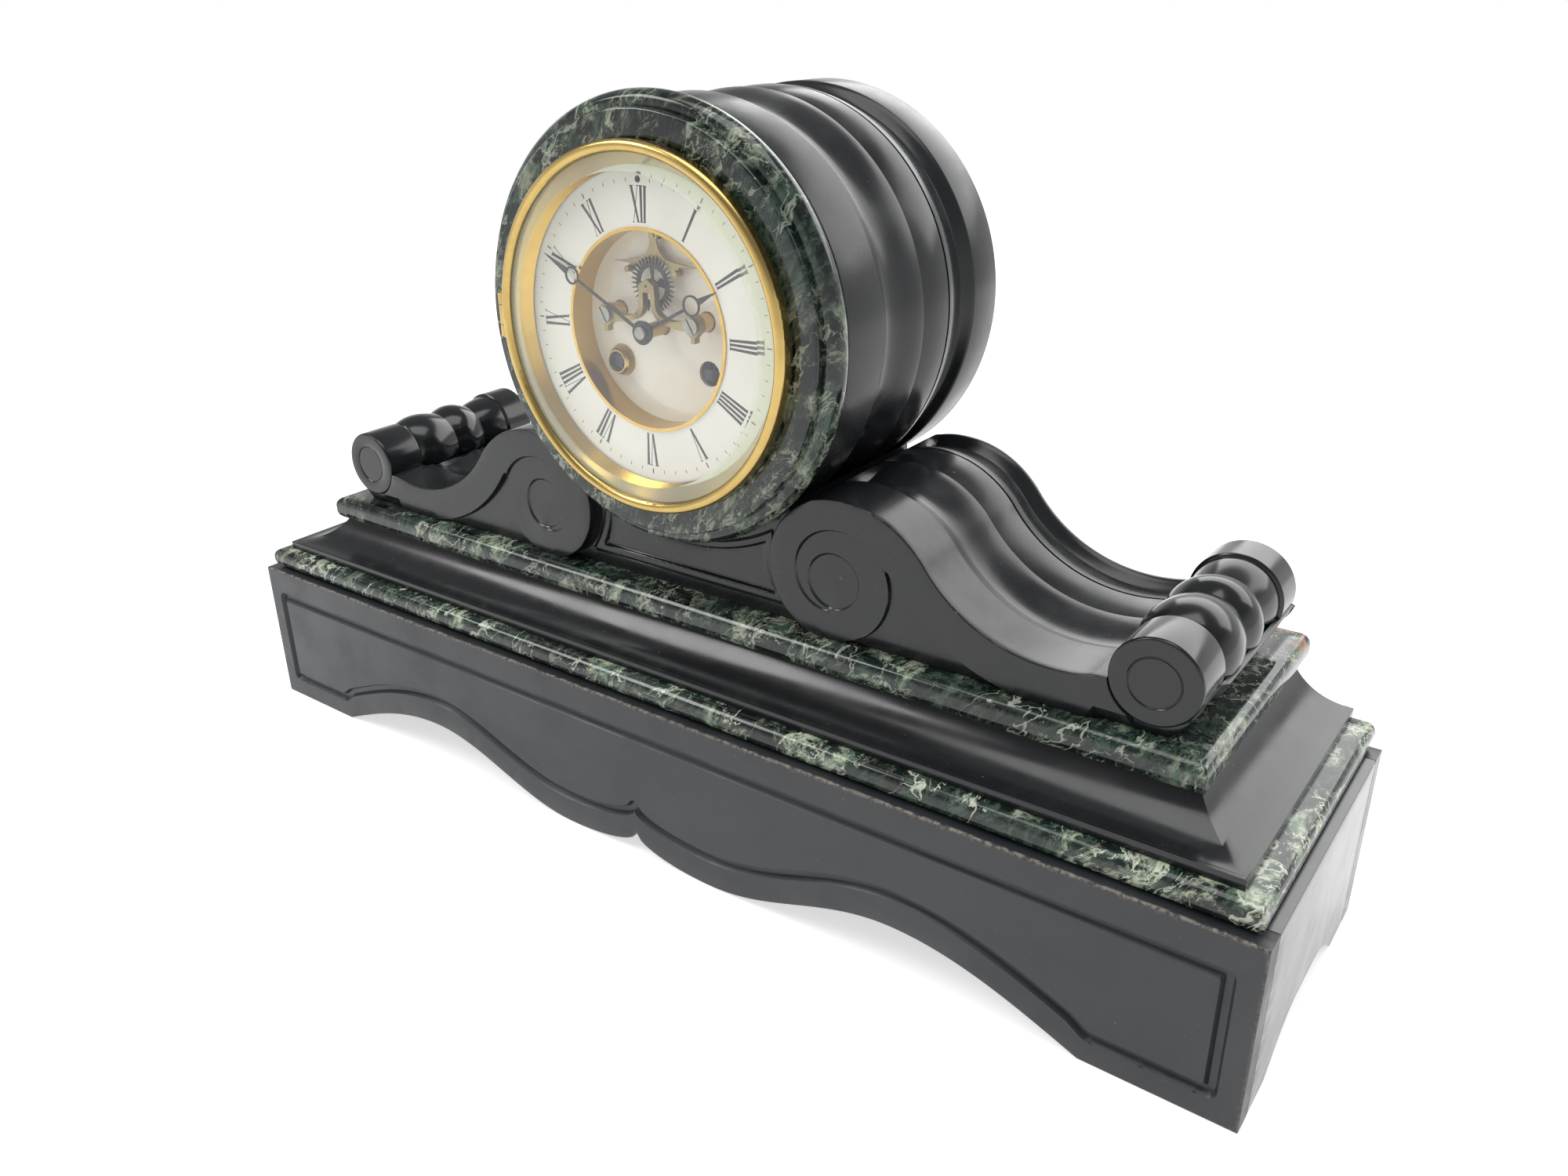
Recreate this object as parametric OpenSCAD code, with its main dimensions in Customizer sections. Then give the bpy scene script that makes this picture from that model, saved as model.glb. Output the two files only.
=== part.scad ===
// Slate and green marble mantel clock with a drum head, scroll consoles and a
// visible escapement. Millimetres, +Z up, front towards -Y. The origin is the
// middle of the footprint, on the surface that the clock stands on.

/* [Plinth] */
// Overall width of the plinth
plinth_width = 520; // [510:1:540]
// Height of the plinth slabs
plinth_height = 75; // [72:1:82]
// Thickness of the slate slabs
slab_thickness = 10; // [8:1:12]
// Width of the incised channel on the front slab
channel_width = 4.6; // [3:0.2:6]
// Depth of the incised channel
channel_depth = 1.5; // [0.8:0.1:2.5]

/* [Steps] */
// Height of the lower marble slab
lower_marble_height = 10.3; // [9:0.1:12]
// Height of the concave slate moulding
cavetto_height = 15.7; // [15:0.1:17]
// Height of the upper marble slab
upper_marble_height = 12; // [10:0.5:14]

/* [Drum] */
// Height of the drum axis above the upper marble slab
drum_axis_rise = 114.4; // [114.2:0.1:115]
// Outer radius of the slate drum
drum_radius = 84.5; // [84:0.1:84.5]
// Depth of the coves turned in the drum and cut in the scroll tops
cove_depth = 4; // [3:0.5:5]

/* [Dial and hands] */
// Radius of the enamel chapter ring
chapter_radius = 62.3; // [62:0.1:62.6]
// Angle of the minute hand, clockwise from twelve
minute_angle = 297.9; // [290:0.1:300]
// Angle of the hour hand, clockwise from twelve
hour_angle = 62.5; // [55:0.5:65]
// Length of the minute hand
minute_length = 56; // [52:1:58]
// Length of the hour hand
hour_length = 41; // [38:1:42]

/* [Pendulum] */
// Distance from the suspension to the middle of the bob
pendulum_length = 153; // [150:1:154]
// Radius of the bob
bob_radius = 17; // [14:1:17]

/* [Hidden] */

// Colours
slate = [0.09, 0.09, 0.1];
green_marble = [0.12, 0.22, 0.17];
brass = [0.8, 0.62, 0.28];
steel = [0.62, 0.63, 0.65];
blued_steel = [0.1, 0.12, 0.2];
enamel = [0.95, 0.94, 0.9];
clear_glass = [0.8, 0.9, 0.88, 0.4];
plaster = [0.75, 0.7, 0.62];

$fn = 96;
eps = 0.01;
far = 600;

// Levels
half_width = plinth_width / 2;
cavetto_z = plinth_height + lower_marble_height;
upper_z = cavetto_z + cavetto_height;
base_z = upper_z + upper_marble_height;
axis_z = base_z + drum_axis_rise;

// Depths, front towards minus
front_y = -77;
back_y = 63;
scroll_front_y = -41.1;
scroll_back_y = 56;
drum_front_y = -40;
drum_split_y = 33;
drum_back_y = 73;
panel_y = -35;

// Pendulum well cut through the steps and the bottom of the drum
well_half = 25.9;
well_y = 5.5;
well_depth = 17;

function polar(r, a) = [r * cos(a), r * sin(a)];
function ease(t) = (1 - cos(180 * t)) / 2;

// A flat outline, drawn as (x, z), given a thickness from y0 towards the back
module slice(y0, thick) {
    translate([0, y0 + thick, 0]) rotate([90, 0, 0]) linear_extrude(thick) children();
}

// A turned piece round the line through (x, z), its outline drawn as (radius, y)
module turned(x = 0, z = axis_z) {
    translate([x, 0, z]) rotate([-90, 0, 0]) rotate_extrude() children();
}

// A round bar along y
module rod(x, z, r, y0, y1) {
    translate([x, y0, z]) rotate([-90, 0, 0]) cylinder(r = r, h = y1 - y0);
}

// A rectangle given by two opposite corners
module box2(a, b) {
    translate(a) square([b[0] - a[0], b[1] - a[1]]);
}

module box3(a, b) {
    translate(a) cube([b[0] - a[0], b[1] - a[1], b[2] - a[2]]);
}

module pendulum_well() {
    box3([-well_half, well_y, 0], [well_half, well_y + well_depth, axis_z - 40]);
}

// Plinth. The apron hangs in two lobes round a cusp and rises to an arch
// on either side of it.
lobe_x = 40;
cusp_z = 10.6;
arch_x = 130;
arch_z = 20.8;
foot_x = half_width - 55;

function apron(x) =
    x < lobe_x ? cusp_z * (1 - sqrt(1 - pow(1 - x / lobe_x, 2)))
    : x < arch_x ? arch_z * ease((x - lobe_x) / (arch_x - lobe_x))
    : x < foot_x ? arch_z * cos(90 * (x - arch_x) / (foot_x - arch_x))
    : 0;

apron_step = 5;
apron_xs = [for (x = [0:apron_step:foot_x - 1]) x, foot_x];
apron_right = [for (x = apron_xs) [x, apron(x)]];
apron_left = [for (i = [len(apron_right) - 1:-1:1]) [-apron_right[i][0], apron_right[i][1]]];

module plinth_outline() {
    polygon(concat([[-half_width, plinth_height], [-half_width, 0]], apron_left, apron_right,
        [[half_width, 0], [half_width, plinth_height]]));
}

// Panel outline inset from the slab's edge, its lower edge riding above the apron
module panel_outline(inset) {
    side = half_width - 8 - inset;
    lift = 12.4 + inset;
    corner_x = foot_x + 3.5 - inset / 2;
    low = 9.4 + inset;
    curve = [for (x = apron_xs) if (x < foot_x - 4) [x, apron(x) + lift]];
    mirrored = [for (i = [len(curve) - 1:-1:1]) [-curve[i][0], curve[i][1]]];
    polygon(concat([[-side, plinth_height - 12.5 - inset], [-side, low], [-corner_x, low]],
        mirrored, curve, [[corner_x, low], [side, low], [side, plinth_height - 12.5 - inset]]));
}

module plinth_front() {
    color(slate) difference() {
        slice(front_y, slab_thickness) plinth_outline();
        slice(front_y - 1, 1 + channel_depth) difference() {
            panel_outline(0);
            panel_outline(channel_width);
        }
        // Small chamfer along the top front edge
        translate([-half_width - 1, front_y, plinth_height]) rotate([45, 0, 0])
            translate([0, -1, -1]) cube([plinth_width + 2, 2, 2]);
    }
}

module plinth_back() {
    color(slate) slice(back_y - slab_thickness, slab_thickness) plinth_outline();
}

// Side slab with a foot at either end and a low arch between them
side_foot = 28;
side_arch = 15;
module plinth_side() {
    y0 = front_y + slab_thickness;
    y1 = back_y - slab_thickness;
    arch_steps = 10;
    run = 30;
    rise = [for (i = [0:arch_steps]) [y0 + side_foot - slab_thickness + run * i / arch_steps,
        side_arch * sin(90 * i / arch_steps)]];
    fall = [for (i = [0:arch_steps]) [y1 - side_foot + slab_thickness - run * (1 - i / arch_steps),
        side_arch * cos(90 * i / arch_steps)]];
    translate([half_width - slab_thickness, 0, 0]) rotate([90, 0, 90])
        linear_extrude(slab_thickness)
            polygon(concat([[y0, plinth_height], [y0, 0]], rise, fall, [[y1, 0], [y1, plinth_height]]));
}

module plinth_side_right() {
    color(slate) plinth_side();
}

module plinth_side_left() {
    color(slate) mirror([1, 0, 0]) plinth_side();
}

// Blocks bedded in the inside corners to tie the slabs together
block = 20;
module corner_blocks() {
    inner_x = half_width - slab_thickness;
    color(plaster)
        for (side = [-1, 1], y = [front_y + slab_thickness, back_y - slab_thickness - block])
            translate([side * (inner_x - block / 2) - block / 2, y, 25])
                cube([block, block, plinth_height - 25]);
}

// Steps. Each is the overlap of one profile run along x and one along y, so
// its corners are mitred.
module stepped(half_x, y0, y1) {
    intersection() {
        translate([0, y1, 0]) rotate([90, 0, 0]) linear_extrude(y1 - y0) children(0);
        translate([-half_x, 0, 0]) rotate([90, 0, 90]) linear_extrude(2 * half_x) children(1);
    }
}

// A slab's cross-section with rounded edges
module rounded_bar(a, b, r, back_r) {
    difference() {
        box2(a, b);
        for (z = [a[1], b[1]]) {
            corner_cut(a[0], z, r, 1, z == a[1] ? 1 : -1);
            corner_cut(b[0], z, back_r, -1, z == a[1] ? 1 : -1);
        }
    }
}

// What a rounding of radius r takes off the corner at (x, z)
module corner_cut(x, z, r, sx, sz) {
    difference() {
        translate([x + sx * r / 2 - sx * eps, z + sz * r / 2 - sz * eps]) square(r + 2 * eps, center = true);
        translate([x + sx * r, z + sz * r]) circle(r);
    }
}

module marble_slab(half_x, y0, y1, z0, z1, r) {
    stepped(half_x, y0, y1) {
        rounded_bar([-half_x, z0], [half_x, z1], r, r);
        rounded_bar([y0, z0], [y1, z1], r, 1);
    }
}

lower_inset = 3.5;
module lower_marble_slab() {
    color(green_marble) difference() {
        marble_slab(half_width - lower_inset, front_y + lower_inset, back_y, plinth_height, cavetto_z, 4.4);
        pendulum_well();
    }
}

upper_half = half_width - 32.2;
module upper_marble_slab() {
    color(green_marble) difference() {
        marble_slab(upper_half, front_y + 27.4, back_y + 4, upper_z, base_z, 4.6);
        pendulum_well();
    }
}

// Concave moulding: a narrow fillet, then a hollow of one radius up to the slab
fillet_height = 4.1;
fillet_flat = 2;
cove_run = 21;
cavetto_half = half_width - 12.2;
module cove_cut(x, side) {
    rise = cavetto_height - fillet_height;
    r = (cove_run * cove_run + rise * rise) / (2 * rise);
    translate([x + side * fillet_flat, cavetto_z + fillet_height + r]) circle(r, $fn = 180);
    box2([min(x, x - side * far), cavetto_z + fillet_height], [max(x, x - side * far), far]);
}

module cavetto_moulding() {
    y0 = front_y + 10;
    y1 = back_y - 1;
    color(slate) difference() {
        stepped(cavetto_half, y0, y1) {
            difference() {
                box2([-cavetto_half, cavetto_z], [cavetto_half, upper_z]);
                cove_cut(-cavetto_half, 1);
                cove_cut(cavetto_half, -1);
            }
            difference() {
                box2([y0, cavetto_z], [y1, upper_z]);
                cove_cut(y0, 1);
            }
        }
        pendulum_well();
    }
}

// Drum. Depth of the turned bands below the outer radius, as (y, depth).
step_y = -17;
arris_y = 13;
arris_depth = 0.3;
groove_y = drum_split_y;
band_y = 54.5;
bands = concat(
    [[step_y, 0], [step_y, 1.2]],
    [for (i = [1:5]) [step_y + 10 * i / 5, 1.2 + (cove_depth - 1.2) * ease(i / 5)]],
    [for (i = [1:8]) [step_y + 10 + (arris_y - step_y - 10) * i / 8,
        arris_depth + (cove_depth - arris_depth) * (1 - ease(i / 8))]],
    [[arris_y, cove_depth - 0.5]],
    [for (i = [1:6]) [arris_y + 18 * i / 6, (cove_depth - 0.5) * (1 - sin(90 * i / 6)) + 0.3 * i / 6]],
    [[groove_y - 0.5, 0.3], [groove_y - 0.5, 1.3], [groove_y + 0.5, 1.3], [groove_y + 0.5, 0.3]],
    [for (i = [1:6]) [groove_y + 0.5 + 16 * i / 6, 0.3 + (cove_depth - 0.3) * ease(i / 6)]],
    [for (i = [1:4]) [groove_y + 16.5 + (band_y - groove_y - 16.5) * i / 4,
        0.3 + (cove_depth - 0.3) * (1 - ease(i / 4))]],
    [[band_y, 0.2]]);

module drum_section(y0, y1, bore) {
    turned() intersection() {
        polygon(concat([[bore, drum_front_y], [drum_radius, drum_front_y]],
            [for (b = bands) [drum_radius - b[1], b[0]]],
            [[drum_radius - 0.2, drum_back_y], [bore, drum_back_y]]));
        box2([0, y0], [far, y1]);
    }
}

drum_bore = 66;
rear_bore = 62;
module drum_front_section() {
    color(slate) difference() {
        drum_section(drum_front_y, drum_split_y, drum_bore);
        pendulum_well();
    }
}

module drum_rear_section() {
    color(slate) drum_section(drum_split_y, drum_back_y, rear_bore);
}

// Marble ring: a rounded outer edge, a quirk and a flat raised face
marble_face_y = -55;
quirk_y = -51;
module drum_marble_ring() {
    color(green_marble) turned() difference() {
        union() {
            intersection() {
                translate([81.2, -46]) circle(5.8);
                box2([78, quirk_y], [88, drum_front_y]);
            }
            box2([drum_bore, quirk_y], [81.2, drum_front_y]);
            box2([drum_bore, marble_face_y], [81.1, quirk_y]);
        }
        corner_cut(81.1, marble_face_y, 1.2, -1, 1);
    }
}

// Scroll consoles. Each outline is drawn on the right, above base_z.
volute = [78.2, 24.4 + base_z];
crest = [82, 14.1 + base_z];
crest_r = 44.4;
hollow = [168, 76.9 + base_z];
hollow_r = 62.1;
join_angle = 36.14;
crest_end = 108;
roll_axis = [204.4, 20 + base_z];
roll_r = 16.2;
bulb_r = 17.8;

module sector(centre, r, a0, a1) {
    mid = (a0 + a1) / 2;
    translate(centre) polygon([[0, 0], polar(r, a0), polar(r * 1.4, mid), polar(r, a1)]);
}

function volute_r(a) = a < 270 ? 33.9 - 0.0522 * (a - 90) : 24.4;

module volute_outline() {
    translate(volute) polygon([for (a = [90:6:444]) polar(volute_r(a), a)]);
}

// The outline climbs the volute, rounds the crest, dips into the hollow and
// ends in the foot that holds the roll
module scroll_outline() {
    step = 4;
    polygon(concat(
        [[volute[0], base_z]],
        [for (a = [252:-6:crest_end + 10]) volute + polar(volute_r(a), a)],
        [for (a = [crest_end:-step:join_angle + 1]) crest + polar(crest_r, a)],
        [for (a = [180 + join_angle:step:286]) hollow + polar(hollow_r, a)],
        [[189.5, roll_axis[1] - 1], [219.6, roll_axis[1]], [219, base_z + 12], [216.4, base_z + 6.6],
            [213.6, base_z + 3], [210.3, base_z]]));
}

// Ring that cuts the bands into a scroll's top round one of its two centres
module band_cutter(centre, r, sign, a0, a1) {
    clear = 1;
    intersection() {
        turned(centre[0], centre[1]) polygon(concat(
            [[r + sign * clear, step_y]],
            [for (b = bands) if (b[1] > 0) [r - sign * b[1], b[0]]],
            [[r - sign * 0.2, scroll_back_y + 1], [r + sign * clear, scroll_back_y + 1]]));
        slice(step_y - 1, scroll_back_y - step_y + 3) sector(centre, 2 * r, a0, a1);
    }
}

module scroll_console() {
    difference() {
        slice(scroll_front_y, scroll_back_y - scroll_front_y) scroll_outline();
        band_cutter(crest, crest_r, 1, join_angle, crest_end + 5);
        band_cutter(hollow, hollow_r, -1, 180 + join_angle, 292);
        // Seat of the turned roll
        rod(roll_axis[0], roll_axis[1], roll_r, scroll_front_y - 1, roll_neck_y + eps);
        rod(roll_axis[0], roll_axis[1], bulb_r + 0.1, roll_neck_y, scroll_back_y + 1);
        // Sunk field between the volute and the band above it
        slice(scroll_front_y - 1, 5) difference() {
            polygon([[84, base_z - 1], [100, base_z + 34], [162, base_z - 1]]);
            translate(hollow) circle(78, $fn = 180);
            translate(volute) circle(24.4);
        }
        // Spiral step of the volute's inner turn round its boss
        slice(scroll_front_y - 1, 2) difference() {
            translate(volute) polygon(concat([for (a = [20:9:263]) polar(25 - 0.052 * (a - 20), a)],
                [polar(12.4, 270), polar(12.4, 300), polar(12.4, 330), polar(12.4, 360)]));
            translate(volute) circle(11.3);
        }
    }
}

module scroll_right() {
    color(slate) scroll_console();
}

module scroll_left() {
    color(slate) mirror([1, 0, 0]) scroll_console();
}

// Turned roll at a scroll's outer end
roll_neck_y = -20;
bulb_split_y = 5;
bulb_end_y = 24;
rear_roll_y = 40;
module roll() {
    turned(roll_axis[0], roll_axis[1]) {
        difference() {
            box2([0, scroll_front_y], [roll_r, roll_neck_y]);
            translate([9.4, scroll_front_y]) square([0.8, 1.4], center = true);
            corner_cut(roll_r, roll_neck_y, 1.5, -1, -1);
        }
        intersection() {
            translate([0, (roll_neck_y + bulb_split_y) / 2]) circle(bulb_r);
            box2([0, roll_neck_y], [20, bulb_split_y]);
        }
        intersection() {
            translate([0, (bulb_split_y + bulb_end_y) / 2]) circle(bulb_r - 0.3);
            box2([0, bulb_split_y], [20, bulb_end_y]);
        }
        polygon([[0, bulb_end_y], [13.6, bulb_end_y], [14.9, 27.5], [15.8, 31.5], [16.2, 36],
            [16.2, rear_roll_y], [0, rear_roll_y]]);
        difference() {
            box2([0, rear_roll_y], [bulb_r - 0.3, scroll_back_y]);
            corner_cut(bulb_r - 0.3, rear_roll_y, 1.5, -1, 1);
        }
    }
}

module roll_right() {
    color(slate) roll();
}

module roll_left() {
    color(slate) mirror([1, 0, 0]) roll();
}

// Block between the volutes that carries the drum, its front a sunk panel
module drum_cradle() {
    color(slate) difference() {
        slice(panel_y, scroll_back_y - panel_y) difference() {
            box2([-60, base_z], [60, base_z + 50]);
            translate([0, axis_z]) circle(drum_radius);
            volute_outline();
            mirror([1, 0]) volute_outline();
        }
        pendulum_well();
    }
}

// Dial. Places here and in the movement are (x, z) from the drum's axis.
dial_y = -51;
recess_y = -40.5;
recess_r = 37.9;
barrel_x = 22.3;
barrel_z = -15.9;
going_at = [barrel_x, barrel_z];
strike_at = [-barrel_x, barrel_z];
escape_at = [0, 17];
anchor_at = [0, 35.1];
regulator_at = [0, 56.1];
bridge_foot = [22, 4.2];
hinge_knuckle = 4;
hinge_half = 9;
bezel_pin = [-73.4, -57.2];
door_pin = [-69, 75.6];
pin_r = 0.8;
knuckle_bore = 0.85;

module at(p) {
    translate([p[0], 0, axis_z + p[1]]) children();
}

// A round bar along y through the current place
module bar(r, y0, y1) {
    translate([0, y0, 0]) rotate([-90, 0, 0]) cylinder(r = r, h = y1 - y0);
}

// An upright bar, its heights measured from the drum's axis
module upright(p, r, z0, z1) {
    translate([p[0], p[1], axis_z + z0]) cylinder(r = r, h = z1 - z0);
}

// The pair of fixed hinge knuckles round a pin
module fixed_knuckles(p, r) {
    for (side = [-1, 1])
        difference() {
            upright(p, r, side > 0 ? hinge_knuckle + 0.2 : -hinge_half,
                side > 0 ? hinge_half : -hinge_knuckle - 0.2);
            upright(p, pin_r, -hinge_half - 1, hinge_half + 1);
        }
}

// Fixed brass ring: flange on the marble, tube in the bore, carrier, feet
foot_angles = [60, 180, 300];
module dial_ring() {
    color(brass) {
        difference() {
            turned() {
                box2([65.6, -56.2], [70, marble_face_y]);
                box2([64.4, marble_face_y], [drum_bore - 0.1, -38]);
                box2([40, -49.2], [64.5, -48]);
            }
            at(regulator_at) bar(1.3, -50, -47);
            box3([-80, -57, axis_z - hinge_knuckle - 0.2], [-69.6, -54, axis_z + hinge_knuckle + 0.2]);
        }
        for (side = [-1, 1])
            translate([-75, -56.2, axis_z + (side > 0 ? hinge_knuckle + 0.2 : -hinge_half)])
                cube([6, 1.2, hinge_half - hinge_knuckle - 0.2]);
        fixed_knuckles(bezel_pin, 1.7);
        for (a = foot_angles) at(polar(43, a)) bar(1.6, -48.1, plate_front_y);
    }
}

module chapter_ring() {
    color(enamel) difference() {
        turned() box2([38.8, dial_y], [chapter_radius, -49.2]);
        at(regulator_at) bar(1.3, -52, -49);
    }
}

// Brass wall of the recess, with a thin rim over the chapter ring's inner edge
module recess_ring() {
    color(brass) turned() {
        box2([recess_r, dial_y - 0.6], [38.7, recess_y + 1.6]);
        box2([recess_r, dial_y - 0.6], [39.2, dial_y]);
    }
}

module dial_centre() {
    color(enamel) difference() {
        at([0, 0]) bar(recess_r, recess_y, recess_y + 1.5);
        at([0, 0]) bar(3.4, -42, -38);
        at(going_at) bar(5, -42, -38);
        at(strike_at) bar(4.2, -42, -38);
        at(escape_at) bar(1.6, -42, -38);
        at(anchor_at) bar(1.9, -42, -38);
        for (side = [-1, 1]) at([side * bridge_foot[0], bridge_foot[1]]) bar(4, -42, -38);
    }
}

// Flared collet round the winding hole
module winding_collet() {
    color(brass) turned(strike_at[0], axis_z + strike_at[1])
        polygon([[4.2, recess_y - 4], [4.6, recess_y - 4], [5.4, recess_y - 2.9], [6.2, recess_y - 0.9],
            [6.5, recess_y], [4.2, recess_y]]);
}

// Hinged bezel with its bevelled glass and the sloping sight ring behind it
glass_y = -60.8;
bead_y = -59.1;
module bezel() {
    color(brass) {
        turned() difference() {
            union() {
                translate([68.5, bead_y]) circle(2.3, $fn = 48);
                box2([66.9, bead_y], [70.8, -56.4]);
            }
            box2([60, -59.4], [67.2, -56]);
            box2([60, bead_y - 3], [66.4, -59.3]);
        }
        difference() {
            union() {
                upright(bezel_pin, 1.7, -hinge_knuckle, hinge_knuckle);
                box3([bezel_pin[0], -58.9, axis_z - hinge_knuckle], [-69.5, -57.3, axis_z + hinge_knuckle]);
            }
            upright(bezel_pin, knuckle_bore, -hinge_knuckle - 1, hinge_knuckle + 1);
        }
    }
}

module bezel_glass() {
    color(clear_glass) turned() polygon([[0, glass_y], [59.8, glass_y], [66.4, -59.4], [67.2, -59.4],
        [67.2, -58.6], [0, -58.6]]);
}

module sight_ring() {
    color(brass) turned() polygon([[66.2, -58.6], [67.2, -58.6], [67.2, -57.6], [66.1, -57.6],
        [60.6, -51.8], [60, -51.8]]);
}

module hinge_pins() {
    color(brass) {
        upright(bezel_pin, pin_r, -hinge_half - 0.6, hinge_half + 0.6);
        upright(door_pin, pin_r, -hinge_half - 0.6, hinge_half + 0.6);
    }
}

// Two straps draw the dial ring and the back ring together through the drum
strap_x = 56;
module movement_straps() {
    color(brass) for (side = [-1, 1])
        difference() {
            box3([side * strap_x - 1.6, -48, axis_z - 5], [side * strap_x + 1.6, 71, axis_z + 5]);
            at([side * strap_x, 0]) bar(1.2, 62, 72);
        }
}

module strap_screws() {
    color(steel) for (side = [-1, 1]) at([side * strap_x, 0]) {
        bar(1.2, 64, 72.6);
        difference() {
            bar(2.8, 72.6, 74.2);
            translate([-3, 73.6, -0.3]) cube([6, 1, 0.6]);
        }
    }
}

module back_ring() {
    color(brass) {
        difference() {
            turned() {
                box2([54, 71], [61.9, 72.6]);
                box2([60.9, 71], [61.9, 74.4]);
                box2([60.9, drum_back_y], [70, 74.4]);
            }
            for (side = [-1, 1]) at([side * strap_x, 0]) bar(1.2, 70, 74);
            box3([-71, 72, axis_z - hinge_knuckle - 0.2], [-66.4, 76, axis_z + hinge_knuckle + 0.2]);
        }
        for (side = [-1, 1])
            difference() {
                translate([-71, drum_back_y, axis_z + (side > 0 ? hinge_knuckle + 0.2 : -hinge_half)])
                    cube([4.1, 2.2, hinge_half - hinge_knuckle - 0.2]);
                upright(door_pin, 1, -hinge_half - 1, hinge_half + 1);
            }
        fixed_knuckles(door_pin, 1.4);
    }
}

module back_door() {
    color(brass) difference() {
        union() {
            at([0, 0]) bar(66, 74.7, 75.9);
            upright(door_pin, 1.4, -hinge_knuckle, hinge_knuckle);
            box3([door_pin[0], 75, axis_z - hinge_knuckle], [-65, 76.2, axis_z + hinge_knuckle]);
        }
        upright(door_pin, knuckle_bore, -hinge_knuckle - 1, hinge_knuckle + 1);
    }
}

// Movement. Wheel centres follow from the teeth that have to mesh.
plate_front_y = -30;
plate_back_y = 6;
plate_t = 2;
plate_r = 46;
play = 0.05;

function meet(a, ra, b, rb, side) =
    let (d = norm(b - a), u = (b - a) / d, s = (ra * ra - rb * rb + d * d) / (2 * d))
    a + s * u + side * sqrt(ra * ra - s * s) * [-u[1], u[0]];
function towards(a, b) = atan2(b[1] - a[1], b[0] - a[0]);
function pitch_r(distance, teeth, other) = distance * teeth / (teeth + other);

barrel_gap = 20.3;
barrel_teeth = 75;
barrel_leaves = 12;
inner_gap = 13.4;
intermediate_teeth = 55;
centre_leaves = 12;
third_gap = 12.4;
centre_teeth = 72;
third_leaves = 6;
escape_gap = 11.5;
third_teeth = 66;
escape_leaves = 6;
escape_teeth = 34;
warning_gap = 11.5;
pin_teeth = 60;
warning_leaves = 10;
fly_gap = 10.3;
warning_teeth = 54;
fly_leaves = 12;
motion_gap = 9.6;
cannon_leaves = 14;
minute_teeth = 42;
minute_leaves = 12;
hour_teeth = 48;

centre_at = [0, 0];
intermediate_at = meet(going_at, barrel_gap, centre_at, inner_gap, 1);
third_at = meet(centre_at, third_gap, escape_at, escape_gap, -1);
pin_at = meet(strike_at, barrel_gap, centre_at, inner_gap, 1);
warning_at = pin_at + polar(warning_gap, 113);
fly_at = warning_at + polar(fly_gap, 58);
minute_at = [0, -motion_gap];
hammer_at = [-36, 4];
bell_at = [12, -12];
pillar_angles = [30, 150, 270];
pillar_ring = 41;

// Each bearing is a place and the radius of the pivot that turns in it
bearings = [[centre_at, 1.2], [intermediate_at, 1.2], [third_at, 0.55], [anchor_at, 0.8],
    [pin_at, 1], [warning_at, 0.8], [fly_at, 0.6], [hammer_at, 1], [going_at, 2.4], [strike_at, 2.4]];

// Gear outline with straight flanks, one tooth centred on the angle phase
module gear(teeth, r, phase) {
    pitch = 360 / teeth;
    unit = 2 * r / teeth;
    tip = r + 0.5 * unit;
    root = r - unit;
    polygon([for (i = [0:teeth - 1], k = [[root, -0.21], [tip, -0.09], [tip, 0.09], [root, 0.21]])
        polar(k[0], phase + pitch * (i + k[1]))]);
}

// Wheel with its teeth on the line towards the pinion it drives
module wheel(y, thick, teeth, r, from, to, hub) {
    slice(y, thick) difference() {
        gear(teeth, r, towards(from, to));
        crossings(5, hub, r * 0.84, 7);
    }
}

// Pinion with a gap on the line towards the wheel that it meshes with
module pinion(y0, y1, leaves, r, from, to) {
    slice(y0, y1 - y0) gear(leaves, r, towards(from, to) + 180 / leaves);
}

// Openings between the arms of a wheel
module crossings(arms, r_in, r_out, arm) {
    steps = 4;
    for (i = [0:arms - 1]) {
        a0 = 360 / arms * i + arm;
        sweep = 360 / arms - 2 * arm;
        polygon(concat([for (k = [0:steps]) polar(r_out, a0 + sweep * k / steps)],
            [for (k = [steps:-1:0]) polar(r_in, a0 + sweep * k / steps)]));
    }
}

module plate(y) {
    difference() {
        at(centre_at) bar(plate_r, y, y + plate_t);
        for (b = bearings) at(b[0]) bar(b[1] + play, y - 1, y + plate_t + 1);
        for (a = pillar_angles) at(polar(pillar_ring, a)) bar(1.8, y - 1, y + plate_t + 1);
        children();
    }
}

module front_plate() {
    color(brass) {
        plate(plate_front_y) at(escape_at) bar(2.2, plate_front_y - 1, 0);
        at(minute_at) bar(1, -38.4, plate_front_y + 1);
    }
}

module back_plate() {
    color(brass) plate(plate_back_y) at(escape_at) bar(0.5 + play, 0, 12);
}

module plate_pillars() {
    color(brass) for (a = pillar_angles) at(polar(pillar_ring, a)) {
        bar(3.5, plate_front_y + plate_t, plate_back_y);
        bar(1.8, plate_front_y - 1.2, plate_back_y + plate_t + 1.2);
        bar(2.6, plate_front_y - 1.2, plate_front_y);
        bar(2.6, plate_back_y + plate_t, plate_back_y + plate_t + 1.2);
    }
}

// A curved strip of even width from a to c, drawn towards b
module ribbon(a, b, c, w) {
    steps = 10;
    mid = [for (i = [0:steps]) let (t = i / steps)
        (1 - t) * (1 - t) * a + 2 * t * (1 - t) * b + t * t * c];
    way = [for (i = [0:steps]) let (t = i / steps, d = (1 - t) * (b - a) + t * (c - b)) d / norm(d)];
    polygon(concat([for (i = [0:steps]) mid[i] + w / 2 * [-way[i][1], way[i][0]]],
        [for (i = [steps:-1:0]) mid[i] - w / 2 * [-way[i][1], way[i][0]]]));
}

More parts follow.
